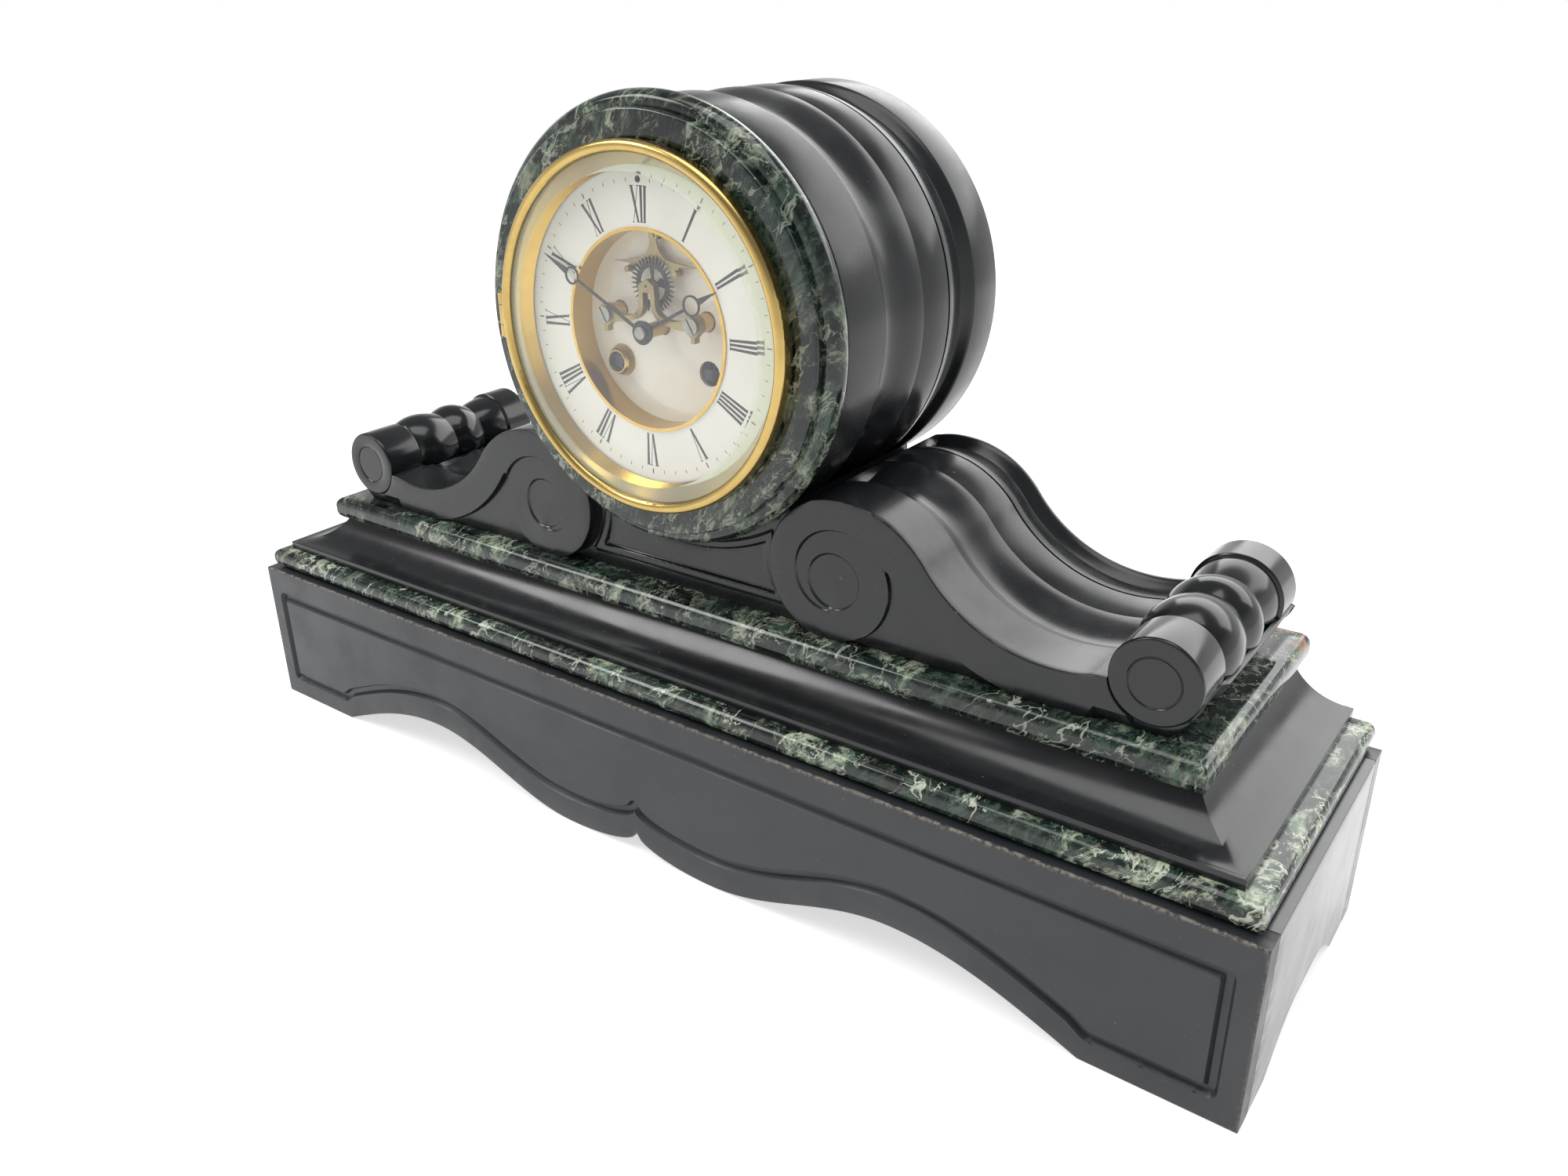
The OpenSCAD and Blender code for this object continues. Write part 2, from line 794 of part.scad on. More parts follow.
bridge_y = -49.6;
bridge_t = 3;
arm_x = 2.9;
arm_half = 1.1;
boss_r = 2.5;
foot_r = 4.2;
// An arm leaves its foot level, nearly three times as wide as it ends, and turns upright at arm_x
arm_knee = [arm_x, 1.3];
arm_top = [arm_x, 11];
arm_steps = [for (i = [2:12]) i / 12];
arm_mid = [for (t = arm_steps)
    (1 - t) * (1 - t) * bridge_foot + 2 * t * (1 - t) * arm_knee + t * t * arm_top];
arm_out = [for (t = arm_steps)
    let (d = (1 - t) * (arm_knee - bridge_foot) + t * (arm_top - arm_knee),
        half = arm_half + 1.9 * pow(max(0, 1 - t / 0.4), 2))
    half * [d[1], -d[0]] / norm(d)];
foot_tail = [[1, -4.6], [0.9, -6.6], [-0.9, -6.6], [-1, -4.6]];
// Right half, from the boss at the top by the outer edge, the foot and its tail to the inner edge
bridge_half = concat(
    [for (i = [0:5]) escape_at + polar(boss_r, 90 - 11 * i)],
    [[arm_x + 0.8, 17.4], [arm_x + arm_half, 16.4]],
    [for (i = [10:-1:0]) arm_mid[i] + arm_out[i]],
    [for (i = [0:10]) bridge_foot + polar(foot_r, 150 - 17 * i)],
    [for (p = foot_tail) bridge_foot + p],
    [bridge_foot + polar(foot_r, 215)],
    [for (i = [0:10]) arm_mid[i] - arm_out[i]],
    [[arm_x - arm_half, 14.6]]);
module escape_bridge() {
    last = len(bridge_half) - 1;
    color(brass) at(centre_at) slice(bridge_y, bridge_t) difference() {
        polygon(concat(bridge_half, [for (i = [last:-1:1]) [-bridge_half[i][0], bridge_half[i][1]]]));
        translate(escape_at) circle(0.5 + play);
        for (side = [-1, 1]) translate([side * bridge_foot[0], bridge_foot[1]]) circle(1.5);
    }
}

module bridge_pillars() {
    color(brass) for (side = [-1, 1]) at([side * bridge_foot[0], bridge_foot[1]]) difference() {
        bar(3.6, bridge_y + bridge_t, plate_front_y);
        bar(1.5, bridge_y, -41);
    }
}

module bridge_screws() {
    color(steel) for (side = [-1, 1]) at([side * bridge_foot[0], bridge_foot[1]]) {
        bar(1.5, bridge_y, -41);
        difference() {
            bar(3.25, bridge_y - 1.4, bridge_y);
            rotate([0, 60, 0]) translate([-4, bridge_y - 2, -0.35]) cube([8, 1.3, 0.7]);
        }
    }
}

// Going train
escape_y = -45.9;
escape_r = 10.6;
module escape_wheel() {
    pitch = 360 / escape_teeth;
    color(blued_steel) at(escape_at) {
        slice(escape_y, 0.8) difference() {
            polygon([for (i = [0:escape_teeth - 1], k = [[8, -0.24], [escape_r, -0.06],
                [escape_r, 0.06], [8, 0.24]]) polar(k[0], pitch * (i + k[1]))]);
            crossings(4, 2, 6.5, 8);
        }
        bar(0.5, -49.2, plate_back_y + plate_t - 0.2);
        bar(0.8, bridge_y + bridge_t + 0.15, -11);
        pinion(-9.5, -5, escape_leaves, pitch_r(escape_gap, escape_leaves, third_teeth),
            escape_at, third_at);
    }
}

module third_wheel() {
    color(brass) at(third_at) {
        wheel(-8, 1.5, third_teeth, pitch_r(escape_gap, third_teeth, escape_leaves), third_at, escape_at, 2);
        pinion(-26, -22.5, third_leaves, pitch_r(third_gap, third_leaves, centre_teeth),
            third_at, centre_at);
        bar(0.55, -29.6, 7.6);
    }
}

module centre_wheel() {
    color(brass) at(centre_at) {
        wheel(-25, 1.5, centre_teeth, pitch_r(third_gap, centre_teeth, third_leaves),
            centre_at, third_at, 3);
        pinion(-21.5, -17, centre_leaves, pitch_r(inner_gap, centre_leaves, intermediate_teeth),
            centre_at, intermediate_at);
        bar(1.2, -54.2, 7.6);
    }
}

module intermediate_wheel() {
    color(brass) at(intermediate_at) {
        wheel(-20, 1.5, intermediate_teeth, pitch_r(inner_gap, intermediate_teeth, centre_leaves),
            intermediate_at, centre_at, 3);
        pinion(-14, -9, barrel_leaves, pitch_r(barrel_gap, barrel_leaves, barrel_teeth),
            intermediate_at, going_at);
        bar(1.2, -29.6, 7.6);
    }
}

// Spring barrel: a toothed front, a thin wall and a cover, riding on its arbor
module barrel(place, next) {
    at(place) {
        slice(-12.5, 2) difference() {
            gear(barrel_teeth, pitch_r(barrel_gap, barrel_teeth, barrel_leaves), towards(place, next));
            circle(2.4 + play);
        }
        rotate([-90, 0, 0]) rotate_extrude() difference() {
            box2([2.4 + play, -10.6], [16.6, 4]);
            box2([0, -9.5], [15.4, 3]);
        }
    }
}

module going_barrel() {
    color(brass) barrel(going_at, intermediate_at);
}

// Strike train
module strike_barrel() {
    color(brass) barrel(strike_at, pin_at);
}

// Pin wheel with the count wheel on the end of its arbor
module pin_wheel() {
    r = pitch_r(warning_gap, pin_teeth, warning_leaves);
    color(brass) at(pin_at) {
        wheel(-17, 1.5, pin_teeth, r, pin_at, warning_at, 3);
        pinion(-14, -9, barrel_leaves, pitch_r(barrel_gap, barrel_leaves, barrel_teeth), pin_at, strike_at);
        bar(1, -29.6, 10);
        for (i = [0:9])
            translate([(r - 1.2) * cos(36 * i), 0, (r - 1.2) * sin(36 * i)]) bar(0.4, -19, -16.8);
        slice(9, 1.2) difference() {
            circle(11);
            for (i = [1:12]) rotate(360 * i * (i + 1) / 180) translate([0, 9.6]) box2([-0.6, 0], [0.6, 2]);
        }
    }
}

module warning_wheel() {
    color(brass) at(warning_at) {
        wheel(-7, 1.5, warning_teeth, pitch_r(fly_gap, warning_teeth, fly_leaves), warning_at, fly_at, 2);
        pinion(-18, -14.5, warning_leaves, pitch_r(warning_gap, warning_leaves, pin_teeth),
            warning_at, pin_at);
        bar(0.8, -29.6, 7.6);
    }
}

module fly() {
    color(steel) at(fly_at) {
        pinion(-8.5, -4.5, fly_leaves, pitch_r(fly_gap, fly_leaves, warning_teeth), fly_at, warning_at);
        bar(0.6, -29.6, 7.6);
        translate([-7.2, -20, -0.25]) cube([14.4, 9, 0.5]);
    }
}

// Winding arbor with its square end and ratchet
module winding_arbor(place, end_y) {
    square_side = 4.2;
    ratchet_teeth = 24;
    at(place) {
        translate([-square_side / 2, end_y, -square_side / 2]) cube([square_side, -33 - end_y, square_side]);
        slice(-33, 1.6) polygon([for (i = [0:ratchet_teeth - 1], k = [[5.8, 0.02], [7, 0.9]])
            polar(k[0], 360 / ratchet_teeth * (i + k[1]))]);
        bar(2.4, -33, 7.8);
    }
}

module going_winding_arbor() {
    color(steel) winding_arbor(going_at, -41.5);
}

module strike_winding_arbor() {
    color(steel) winding_arbor(strike_at, -43);
}

// Motion work and hands
cannon_r = 2;
pipe_r = 2.9;
minute_y = -53.4;
hour_y = -52.2;
hand_t = 0.5;
module cannon_pinion() {
    color(steel) at(centre_at) difference() {
        union() {
            bar(cannon_r, minute_y, -30.4);
            pinion(-35, -32.8, cannon_leaves, pitch_r(motion_gap, cannon_leaves, minute_teeth),
                centre_at, minute_at);
        }
        bar(1.2 + play, -54, -30);
    }
}

module minute_wheel() {
    color(brass) at(minute_at) difference() {
        union() {
            wheel(-34.5, 1.2, minute_teeth, pitch_r(motion_gap, minute_teeth, cannon_leaves),
                minute_at, centre_at, 2.4);
            pinion(-38.2, -34.4, minute_leaves, pitch_r(motion_gap, minute_leaves, hour_teeth),
                minute_at, centre_at);
        }
        bar(1 + play, -39, -30);
    }
}

module hour_wheel() {
    color(brass) at(centre_at) difference() {
        union() {
            wheel(-37.5, 1.2, hour_teeth, pitch_r(motion_gap, hour_teeth, minute_leaves),
                centre_at, minute_at, 3.4);
            bar(pipe_r, hour_y, -35.6);
        }
        bar(cannon_r + play, -53, -35);
    }
}

// Moon hand: tapering shaft, open ring, pointed tip
module hand(length, ring_at, ring_r, ring_hole, hub, bore, half_w) {
    difference() {
        union() {
            circle(hub);
            polygon([[-half_w, 0], [half_w, 0], [half_w * 0.7, ring_at - ring_r + 0.4],
                [-half_w * 0.7, ring_at - ring_r + 0.4]]);
            translate([0, ring_at]) circle(ring_r);
            polygon([[-1.3, ring_at + ring_r - 0.5], [1.3, ring_at + ring_r - 0.5], [0, length]]);
        }
        circle(bore);
        translate([0, ring_at]) circle(ring_hole);
    }
}

module hour_hand() {
    color(blued_steel) at(centre_at) slice(hour_y, hand_t) rotate(-hour_angle)
        hand(hour_length, 26.9, 4.05, 3.3, 4.3, pipe_r, 0.8);
}

module minute_hand() {
    color(blued_steel) at(centre_at) slice(minute_y, hand_t) rotate(-minute_angle)
        hand(minute_length, 39.8, 3.6, 2.8, 4.7, cannon_r, 0.7);
}

module hand_nut() {
    color(steel) at(centre_at) rotate([-90, 0, 0]) rotate_extrude() difference() {
        box2([0, minute_y - 1.8], [2.7, minute_y]);
        box2([0, minute_y - 0.9], [1.2 + play, minute_y]);
        corner_cut(2.7, minute_y - 1.8, 0.8, -1, 1);
    }
}

// Anchor, its arbor and the crutch that steadies the pendulum
pallet = [11.9, -13];
anchor_y = -44.3;
crutch_y = 11.5;
module anchor() {
    color(brass) at(anchor_at) {
        slice(anchor_y, 1) {
            circle(2.1);
            box2([-1.4, -9.5], [1.4, 0]);
            for (side = [-1, 1]) {
                ribbon([side * 0.5, -1], [side * 1.2, -9.4], [side * 9.5, -10.3], 1.9);
                polygon([[side * 8.5, -9.3], [side * 8.5, -11.2], [side * 21, -10.7]]);
                polygon([[side * 8.8, -9.9], [side * 11.2, -9.9], [side * 13.2, -12.2],
                    [side * 10.4, -13.4]]);
                translate([side * pallet[0], pallet[1]]) circle(1.6);
            }
        }
        for (side = [-1, 1])
            translate([side * pallet[0], 0, pallet[1]]) bar(1.2, anchor_y - 2.5, anchor_y + 0.5);
        bar(0.8, anchor_y - 0.5, crutch_y + 1);
        slice(crutch_y, 1) {
            circle(1.6);
            box2([-1.1, -31], [1.1, 0]);
            box2([-2.9, -33], [2.9, -29]);
        }
        for (side = [-1, 1]) translate([side * 2.3 - 0.6, crutch_y, -33]) cube([1.2, 4.9, 4]);
    }
}

// Pendulum, hung from a flat spring in the suspension cock
pendulum_y = 14;
rod_r = 1.2;
bob_z = anchor_at[1] - pendulum_length;
rod_foot = bob_z - bob_radius - 8;
module pendulum_rod() {
    color(steel) at(centre_at) {
        translate([-2, pendulum_y - 0.1, 26]) cube([4, 0.2, 13]);
        translate([-3, pendulum_y - 1.1, 23.5]) cube([6, 2.2, 3]);
        translate([0, pendulum_y, rod_foot]) cylinder(r = rod_r, h = 24 - rod_foot);
    }
}

bob_half = 5;
module pendulum_bob() {
    color(brass) at([0, bob_z]) difference() {
        rotate([-90, 0, 0]) rotate_extrude() difference() {
            box2([0, pendulum_y - bob_half], [bob_radius, pendulum_y + bob_half]);
            corner_cut(bob_radius, pendulum_y - bob_half, 3.5, -1, 1);
            corner_cut(bob_radius, pendulum_y + bob_half, 3.5, -1, -1);
        }
        translate([0, pendulum_y, -bob_radius - 1]) cylinder(r = rod_r, h = 2 * bob_radius + 2);
    }
}

module rating_nut() {
    color(brass) at([0, bob_z - bob_radius - 4]) translate([0, pendulum_y, 0]) difference() {
        cylinder(r = 4.5, h = 3.6);
        translate([0, 0, -1]) cylinder(r = rod_r, h = 6);
    }
}

module suspension_cock() {
    color(brass) at(centre_at) difference() {
        union() {
            box3([-6, plate_back_y + plate_t, 37], [6, 17, 44]);
            box3([-3.5, plate_back_y + plate_t + 0.5, 43], [3.5, 12.5, 60]);
        }
        box3([-3.2, pendulum_y - 0.9, 36], [3.2, pendulum_y + 0.9, 41]);
        translate([0, 0, regulator_at[1]]) bar(1.2 + play, 0, 14);
    }
}

// Bell on its post, and the hammer that strikes its rim
bell_sphere = 42;
bell_mouth_y = 26;
bell_crown_y = 46;
module bell() {
    color(steel) at(bell_at) {
        rotate([-90, 0, 0]) rotate_extrude() intersection() {
            difference() {
                translate([0, bell_crown_y - bell_sphere]) circle(bell_sphere, $fn = 180);
                translate([0, bell_crown_y - bell_sphere]) circle(bell_sphere - 1.6, $fn = 180);
            }
            box2([0, bell_mouth_y], [far, bell_crown_y + 1]);
        }
        bar(2.5, plate_back_y + plate_t, 45);
        bar(4, 45, 48.5);
    }
}

module hammer() {
    color(brass) at(hammer_at) {
        bar(1, -29.6, 24);
        slice(20.5, 2) {
            circle(2.4);
            ribbon([0, 0], [4, -6], [7.2, -16], 2.2);
        }
        translate([7.2, 0, -16]) bar(4, 20, 32);
    }
}

module regulator_arbor() {
    color(steel) at(regulator_at) {
        bar(1.2, dial_y, 12);
        translate([-0.7, dial_y - 0.6, -0.7]) cube([1.4, 1, 1.4]);
    }
}

plinth_front();
plinth_back();
plinth_side_left();
plinth_side_right();
corner_blocks();
lower_marble_slab();
cavetto_moulding();
upper_marble_slab();
scroll_left();
scroll_right();
roll_left();
roll_right();
drum_cradle();
drum_front_section();
drum_rear_section();
drum_marble_ring();
dial_ring();
chapter_ring();
recess_ring();
dial_centre();
winding_collet();
bezel();
bezel_glass();
sight_ring();
hinge_pins();
movement_straps();
strap_screws();
back_ring();
back_door();
front_plate();
back_plate();
plate_pillars();
escape_bridge();
bridge_pillars();
bridge_screws();
escape_wheel();
third_wheel();
centre_wheel();
intermediate_wheel();
going_barrel();
strike_barrel();
pin_wheel();
warning_wheel();
fly();
going_winding_arbor();
strike_winding_arbor();
cannon_pinion();
minute_wheel();
hour_wheel();
hour_hand();
minute_hand();
hand_nut();
anchor();
pendulum_rod();
pendulum_bob();
rating_nut();
suspension_cock();
bell();
hammer();
regulator_arbor();
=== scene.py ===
"""Looks of a slate and green marble mantel clock with a drum head and scroll consoles.

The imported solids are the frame. The stone pieces are rebuilt here as smooth carved surfaces in the
same places, the dial gets its painted figures, and the brass and steel work keeps its solids and
gets its finish. Sizes are in millimetres until a mesh is laid down in metres.
"""

import logging
import math
from dataclasses import dataclass, field
from enum import Enum
from typing import Callable, Sequence

import bmesh
import bpy
import numpy as np
from mathutils import Matrix, Vector
from mathutils.geometry import delaunay_2d_cdt


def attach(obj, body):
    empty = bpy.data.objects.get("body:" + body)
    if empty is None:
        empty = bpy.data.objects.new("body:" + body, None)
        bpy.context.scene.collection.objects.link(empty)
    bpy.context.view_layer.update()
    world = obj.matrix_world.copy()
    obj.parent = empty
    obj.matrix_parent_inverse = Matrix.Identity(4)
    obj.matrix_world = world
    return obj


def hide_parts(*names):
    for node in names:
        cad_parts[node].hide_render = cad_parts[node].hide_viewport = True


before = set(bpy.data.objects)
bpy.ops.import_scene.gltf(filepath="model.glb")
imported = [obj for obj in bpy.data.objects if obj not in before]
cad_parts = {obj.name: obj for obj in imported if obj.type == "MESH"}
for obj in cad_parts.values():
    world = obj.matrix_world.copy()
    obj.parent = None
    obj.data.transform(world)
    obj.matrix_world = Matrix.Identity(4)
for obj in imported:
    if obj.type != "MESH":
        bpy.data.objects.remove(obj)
LOG = logging.getLogger("mantel_clock")

MM = 0.001
CASE = "case"
# Height of the upper marble slab's top and of the drum's axis
BASE_Z = 113.0
AXIS_Z = 227.4
# Centre (x, z) of the right console's volute, and how fast its back winds in, in mm a degree
VOLUTE = (78.2, 137.4)
WINDING = 0.0522
# Two corners of the shaft that the pendulum hangs in
WELL = ((-25.9, 5.5, 60.0), (25.9, 22.5, 187.4))


class Side(Enum):
    """Which end of the clock a piece is for, as the sign of its x."""

    LEFT = -1
    RIGHT = 1


class Polish(Enum):
    """How far the slate was rubbed down: (roughness, depth of the grain in mm)."""

    MIRROR = (0.17, 0.006)
    WORN = (0.25, 0.01)
    TURNED = (0.25, 0.008)
    SATIN = (0.37, 0.014)


# Node work


class Recipe:
    """A material under construction: a node tree with one Principled shader."""

    def __init__(self, name: str) -> None:
        """Start an empty material called name."""
        self.material = bpy.data.materials.new(name)
        self.material.use_nodes = True
        self.tree = self.material.node_tree
        self.tree.nodes.clear()
        self.output = self.tree.nodes.new("ShaderNodeOutputMaterial")
        self.shader = self.tree.nodes.new("ShaderNodeBsdfPrincipled")
        self.join(self.shader.outputs[0], self.output.inputs[0])
        self.place = self.tree.nodes.new("ShaderNodeTexCoord").outputs["Object"]

    def join(self, source: object, target: object) -> None:
        """Link an output socket to an input socket."""
        self.tree.links.new(source, target)

    def feed(self, socket: object, value: object) -> None:
        """Give an input socket a constant, or link an output socket to it."""
        if hasattr(value, "links"):
            self.join(value, socket)
        else:
            socket.default_value = value

    def set(self, **sockets: object) -> "Recipe":
        """Set the shader's own sockets; an underscore in a name stands for a space."""
        for name, value in sockets.items():
            self.feed(self.shader.inputs[name.replace("_", " ")], value)
        return self

    def math(self, operation: str, first: object, second: object = 0.0, clamp: bool = False) -> object:
        """Return the output of a Math node."""
        node = self.tree.nodes.new("ShaderNodeMath")
        node.operation = operation
        node.use_clamp = clamp
        self.feed(node.inputs[0], first)
        self.feed(node.inputs[1], second)
        return node.outputs[0]

    def range(self, value: object, low: float, high: float, start: float = 0.0, end: float = 1.0) -> object:
        """Carry value smoothly from [low, high] to [start, end].

        Args:
            value: socket to read.
            low: value that gives start.
            high: value that gives end.
            start: result at low.
            end: result at high.

        Returns:
            The output socket; between the ends it follows t * t * (3 - 2 t).
        """
        node = self.tree.nodes.new("ShaderNodeMapRange")
        node.interpolation_type = "SMOOTHSTEP"
        for key, number in (("From Min", low), ("From Max", high), ("To Min", start), ("To Max", end)):
            self.feed(node.inputs[key], number)
        self.feed(node.inputs["Value"], value)
        return node.outputs[0]

    def mix(self, amount: object, first: object, second: object) -> object:
        """Return the colour between first (amount 0) and second (amount 1)."""
        node = self.tree.nodes.new("ShaderNodeMix")
        node.data_type = "RGBA"
        self.feed(node.inputs[0], amount)
        self.feed(node.inputs[6], first)
        self.feed(node.inputs[7], second)
        return node.outputs[2]

    def noise(self, scale: float, detail: float = 4.0, rough: float = 0.55, at: object = None) -> object:
        """Return a grey noise between about 0.25 and 0.75; scale is in features a metre."""
        node = self.tree.nodes.new("ShaderNodeTexNoise")
        node.inputs["Scale"].default_value = scale
        node.inputs["Detail"].default_value = detail
        node.inputs["Roughness"].default_value = rough
        self.join(at or self.place, node.inputs["Vector"])
        return node.outputs[0]

    def vein(self, scale: float, thin: float, thick: float, at: object, detail: float = 5.0) -> object:
        """Return 1 on wandering lines and 0 off them.

        A line runs where a noise crosses 0.5; |noise - 0.5| is measured against a
        width that itself wanders between thin and thick.
        """
        gap = self.math("ABSOLUTE", self.math("SUBTRACT", self.noise(scale, detail, 0.6, at), 0.5))
        width = self.range(self.noise(scale * 2.3, 3.0, 0.5, at), 0.38, 0.66, thin, thick)
        return self.range(self.math("DIVIDE", gap, width), 0.2, 1.0, 1.0, 0.0)

    def radius(self) -> object:
        """Return the distance from the dial's axis, in metres."""
        across = self.tree.nodes.new("ShaderNodeCombineXYZ")
        self.join(self.part(0), across.inputs[0])
        self.join(self.math("SUBTRACT", self.part(2), AXIS_Z * MM), across.inputs[1])
        length = self.tree.nodes.new("ShaderNodeVectorMath")
        length.operation = "LENGTH"
        self.join(across.outputs[0], length.inputs[0])
        return length.outputs["Value"]

    def warped(self, scale: float, reach: float, detail: float = 3.0, at: object = None) -> object:
        """Return the place pushed about by a coloured noise, reach metres at most."""
        noise = self.tree.nodes.new("ShaderNodeTexNoise")
        noise.inputs["Scale"].default_value = scale
        noise.inputs["Detail"].default_value = detail
        self.join(at or self.place, noise.inputs["Vector"])
        push = self.tree.nodes.new("ShaderNodeVectorMath")
        push.operation = "MULTIPLY_ADD"
        self.join(noise.outputs[1], push.inputs[0])
        push.inputs[1].default_value = (2 * reach,) * 3
        self.join(at or self.place, push.inputs[2])
        return push.outputs[0]

    def leaning(self, scale: Sequence[float], degrees: float, at: object = None) -> object:
        """Return the place turned by degrees about y, each axis then multiplied by scale."""
        node = self.tree.nodes.new("ShaderNodeMapping")
        node.vector_type = "TEXTURE"
        node.inputs["Rotation"].default_value = (0.0, math.radians(degrees), 0.0)
        node.inputs["Scale"].default_value = [1.0 / s for s in scale]
        self.join(at or self.place, node.inputs["Vector"])
        return node.outputs[0]

    def part(self, axis: int) -> object:
        """Return one coordinate of the place, in metres."""
        node = self.tree.nodes.new("ShaderNodeSeparateXYZ")
        self.join(self.place, node.inputs[0])
        return node.outputs[axis]

    def attribute(self, name: str) -> object:
        """Return a number stored on the mesh's vertices."""
        node = self.tree.nodes.new("ShaderNodeAttribute")
        node.attribute_name = name
        return node.outputs["Fac"]

    def relief(self, height: object, depth_mm: float, strength: float = 1.0) -> "Recipe":
        """Bump the surface by height, which counts for depth_mm at 1."""
        node = self.tree.nodes.new("ShaderNodeBump")
        node.inputs["Strength"].default_value = strength
        node.inputs["Distance"].default_value = depth_mm * MM
        self.join(height, node.inputs["Height"])
        self.join(node.outputs[0], self.shader.inputs["Normal"])
        return self


# Finishes


@dataclass(frozen=True)
class Slate:
    """Black slate: a fine grey grain, faint cloudy polish, dust specks and pale worn arrises."""

    name: str
    polish: Polish
    tone: float
    gloss: float = 0.5
    slot: str = "slate"

    def make(self) -> bpy.types.Material:
        """Return the material."""
        mix = Recipe(self.name)
        rough, grain_mm = self.polish.value
        tone = self.tone
        cloud = mix.noise(9.0, 5.0, 0.6)
        grain = mix.noise(900.0, 3.0, 0.6)
        speck = mix.range(mix.noise(420.0, 2.0, 0.5), 0.735, 0.78)
        chip = mix.range(mix.noise(430.0, 5.0, 0.7), 0.4, 0.6)
        worn = mix.math("MULTIPLY", mix.attribute("wear"), chip, clamp=True)
        body = mix.mix(mix.range(cloud, 0.3, 0.7), (tone * 0.74, tone * 0.84, tone * 0.98, 1),
                       (tone * 1.08, tone * 1.2, tone * 1.36, 1))
        body = mix.mix(mix.math("MULTIPLY", speck, 0.4), body, (0.16, 0.16, 0.15, 1))
        body = mix.mix(mix.math("MULTIPLY", worn, 0.85), body, (0.27, 0.24, 0.2, 1))
        smear = mix.noise(34.0, 4.0, 0.65, mix.warped(12.0, 0.01))
        sheen = mix.range(smear, 0.3, 0.75, rough * 0.8, rough * 1.35)
        mix.set(Base_Color=body, Specular_IOR_Level=self.gloss)
        mix.feed(mix.shader.inputs["Roughness"], mix.math("ADD", sheen, mix.math("MULTIPLY", worn, 0.3)))
        mix.relief(mix.math("SUBTRACT", grain, mix.math("MULTIPLY", worn, 6.0)), grain_mm, 0.6)
        return mix.material


@dataclass(frozen=True)
class GreenMarble:
    """Sea-green marble: a black-green ground, leaning drifts of pale green and cream, and wisps."""

    name: str = "sea_green_marble"
    slot: str = "green_marble"
    richness: float = 1.0
    rusty: bool = False

    def make(self) -> bpy.types.Material:
        """Return the material; richness is the share of the pale drifts."""
        mix = Recipe(self.name)
        place = mix.warped(30.0, 0.012, 5.0, mix.leaning((1.5, 1.0, 0.8), 38.0))
        drift = mix.warped(130.0, 0.003, 4.0, place)
        cloud = mix.range(mix.noise(30.0, 8.0, 0.7, place), 0.42, 0.68)
        zone = mix.range(mix.noise(19.0, 4.0, 0.6, place), 0.42, 0.56, 0.1, 1.0)
        ground = mix.mix(cloud, (0.003, 0.0055, 0.005, 1), (0.012, 0.028, 0.022, 1))
        net = mix.math("MULTIPLY", mix.vein(105.0, 0.02, 0.1, drift, 6.0), 0.75)
        body = mix.mix(mix.math("MULTIPLY", net, mix.range(cloud, 0.0, 0.5, 0.2, 1.0)), ground,
                       (0.05, 0.085, 0.062, 1))
        mottle = mix.range(mix.noise(75.0, 8.0, 0.78, drift), 0.48, 0.6)
        pale = mix.mix(mix.range(mix.noise(120.0, 5.0, 0.7, drift), 0.4, 0.6), (0.07, 0.14, 0.09, 1),
                       (0.46, 0.5, 0.37, 1))
        patch = mix.math("MULTIPLY", mix.math("MULTIPLY", mottle, zone), 0.95 * self.richness, clamp=True)
        body = mix.mix(patch, body, pale)
        branch = mix.vein(48.0, 0.002, 0.03, drift)
        share = mix.math("MULTIPLY", zone, 0.85 * self.richness, clamp=True)
        body = mix.mix(mix.math("MULTIPLY", branch, share), body, (0.5, 0.56, 0.43, 1))
        thread = mix.math("MULTIPLY", mix.vein(15.0, 0.0008, 0.012, drift), 0.64 * self.richness)
        body = mix.mix(thread, body, (0.6, 0.64, 0.52, 1))
        if self.rusty:
            rust = mix.math("MULTIPLY", mix.range(mix.part(0), 0.2, 0.212),
                            mix.range(mix.part(1), 0.05, 0.058))
            rust = mix.math("MULTIPLY", rust, mix.range(mix.noise(130.0, 4.0), 0.48, 0.56))
            body = mix.mix(rust, body, (0.32, 0.13, 0.03, 1))
        gloss = mix.range(mix.noise(48.0, 4.0, 0.6), 0.3, 0.7, 0.09, 0.2)
        mix.set(Base_Color=body, Roughness=gloss, Specular_IOR_Level=0.45, Coat_Weight=0.15,
                Coat_Roughness=0.05)
        return mix.relief(mix.math("MULTIPLY", branch, -1.0), 0.05, 0.35).material


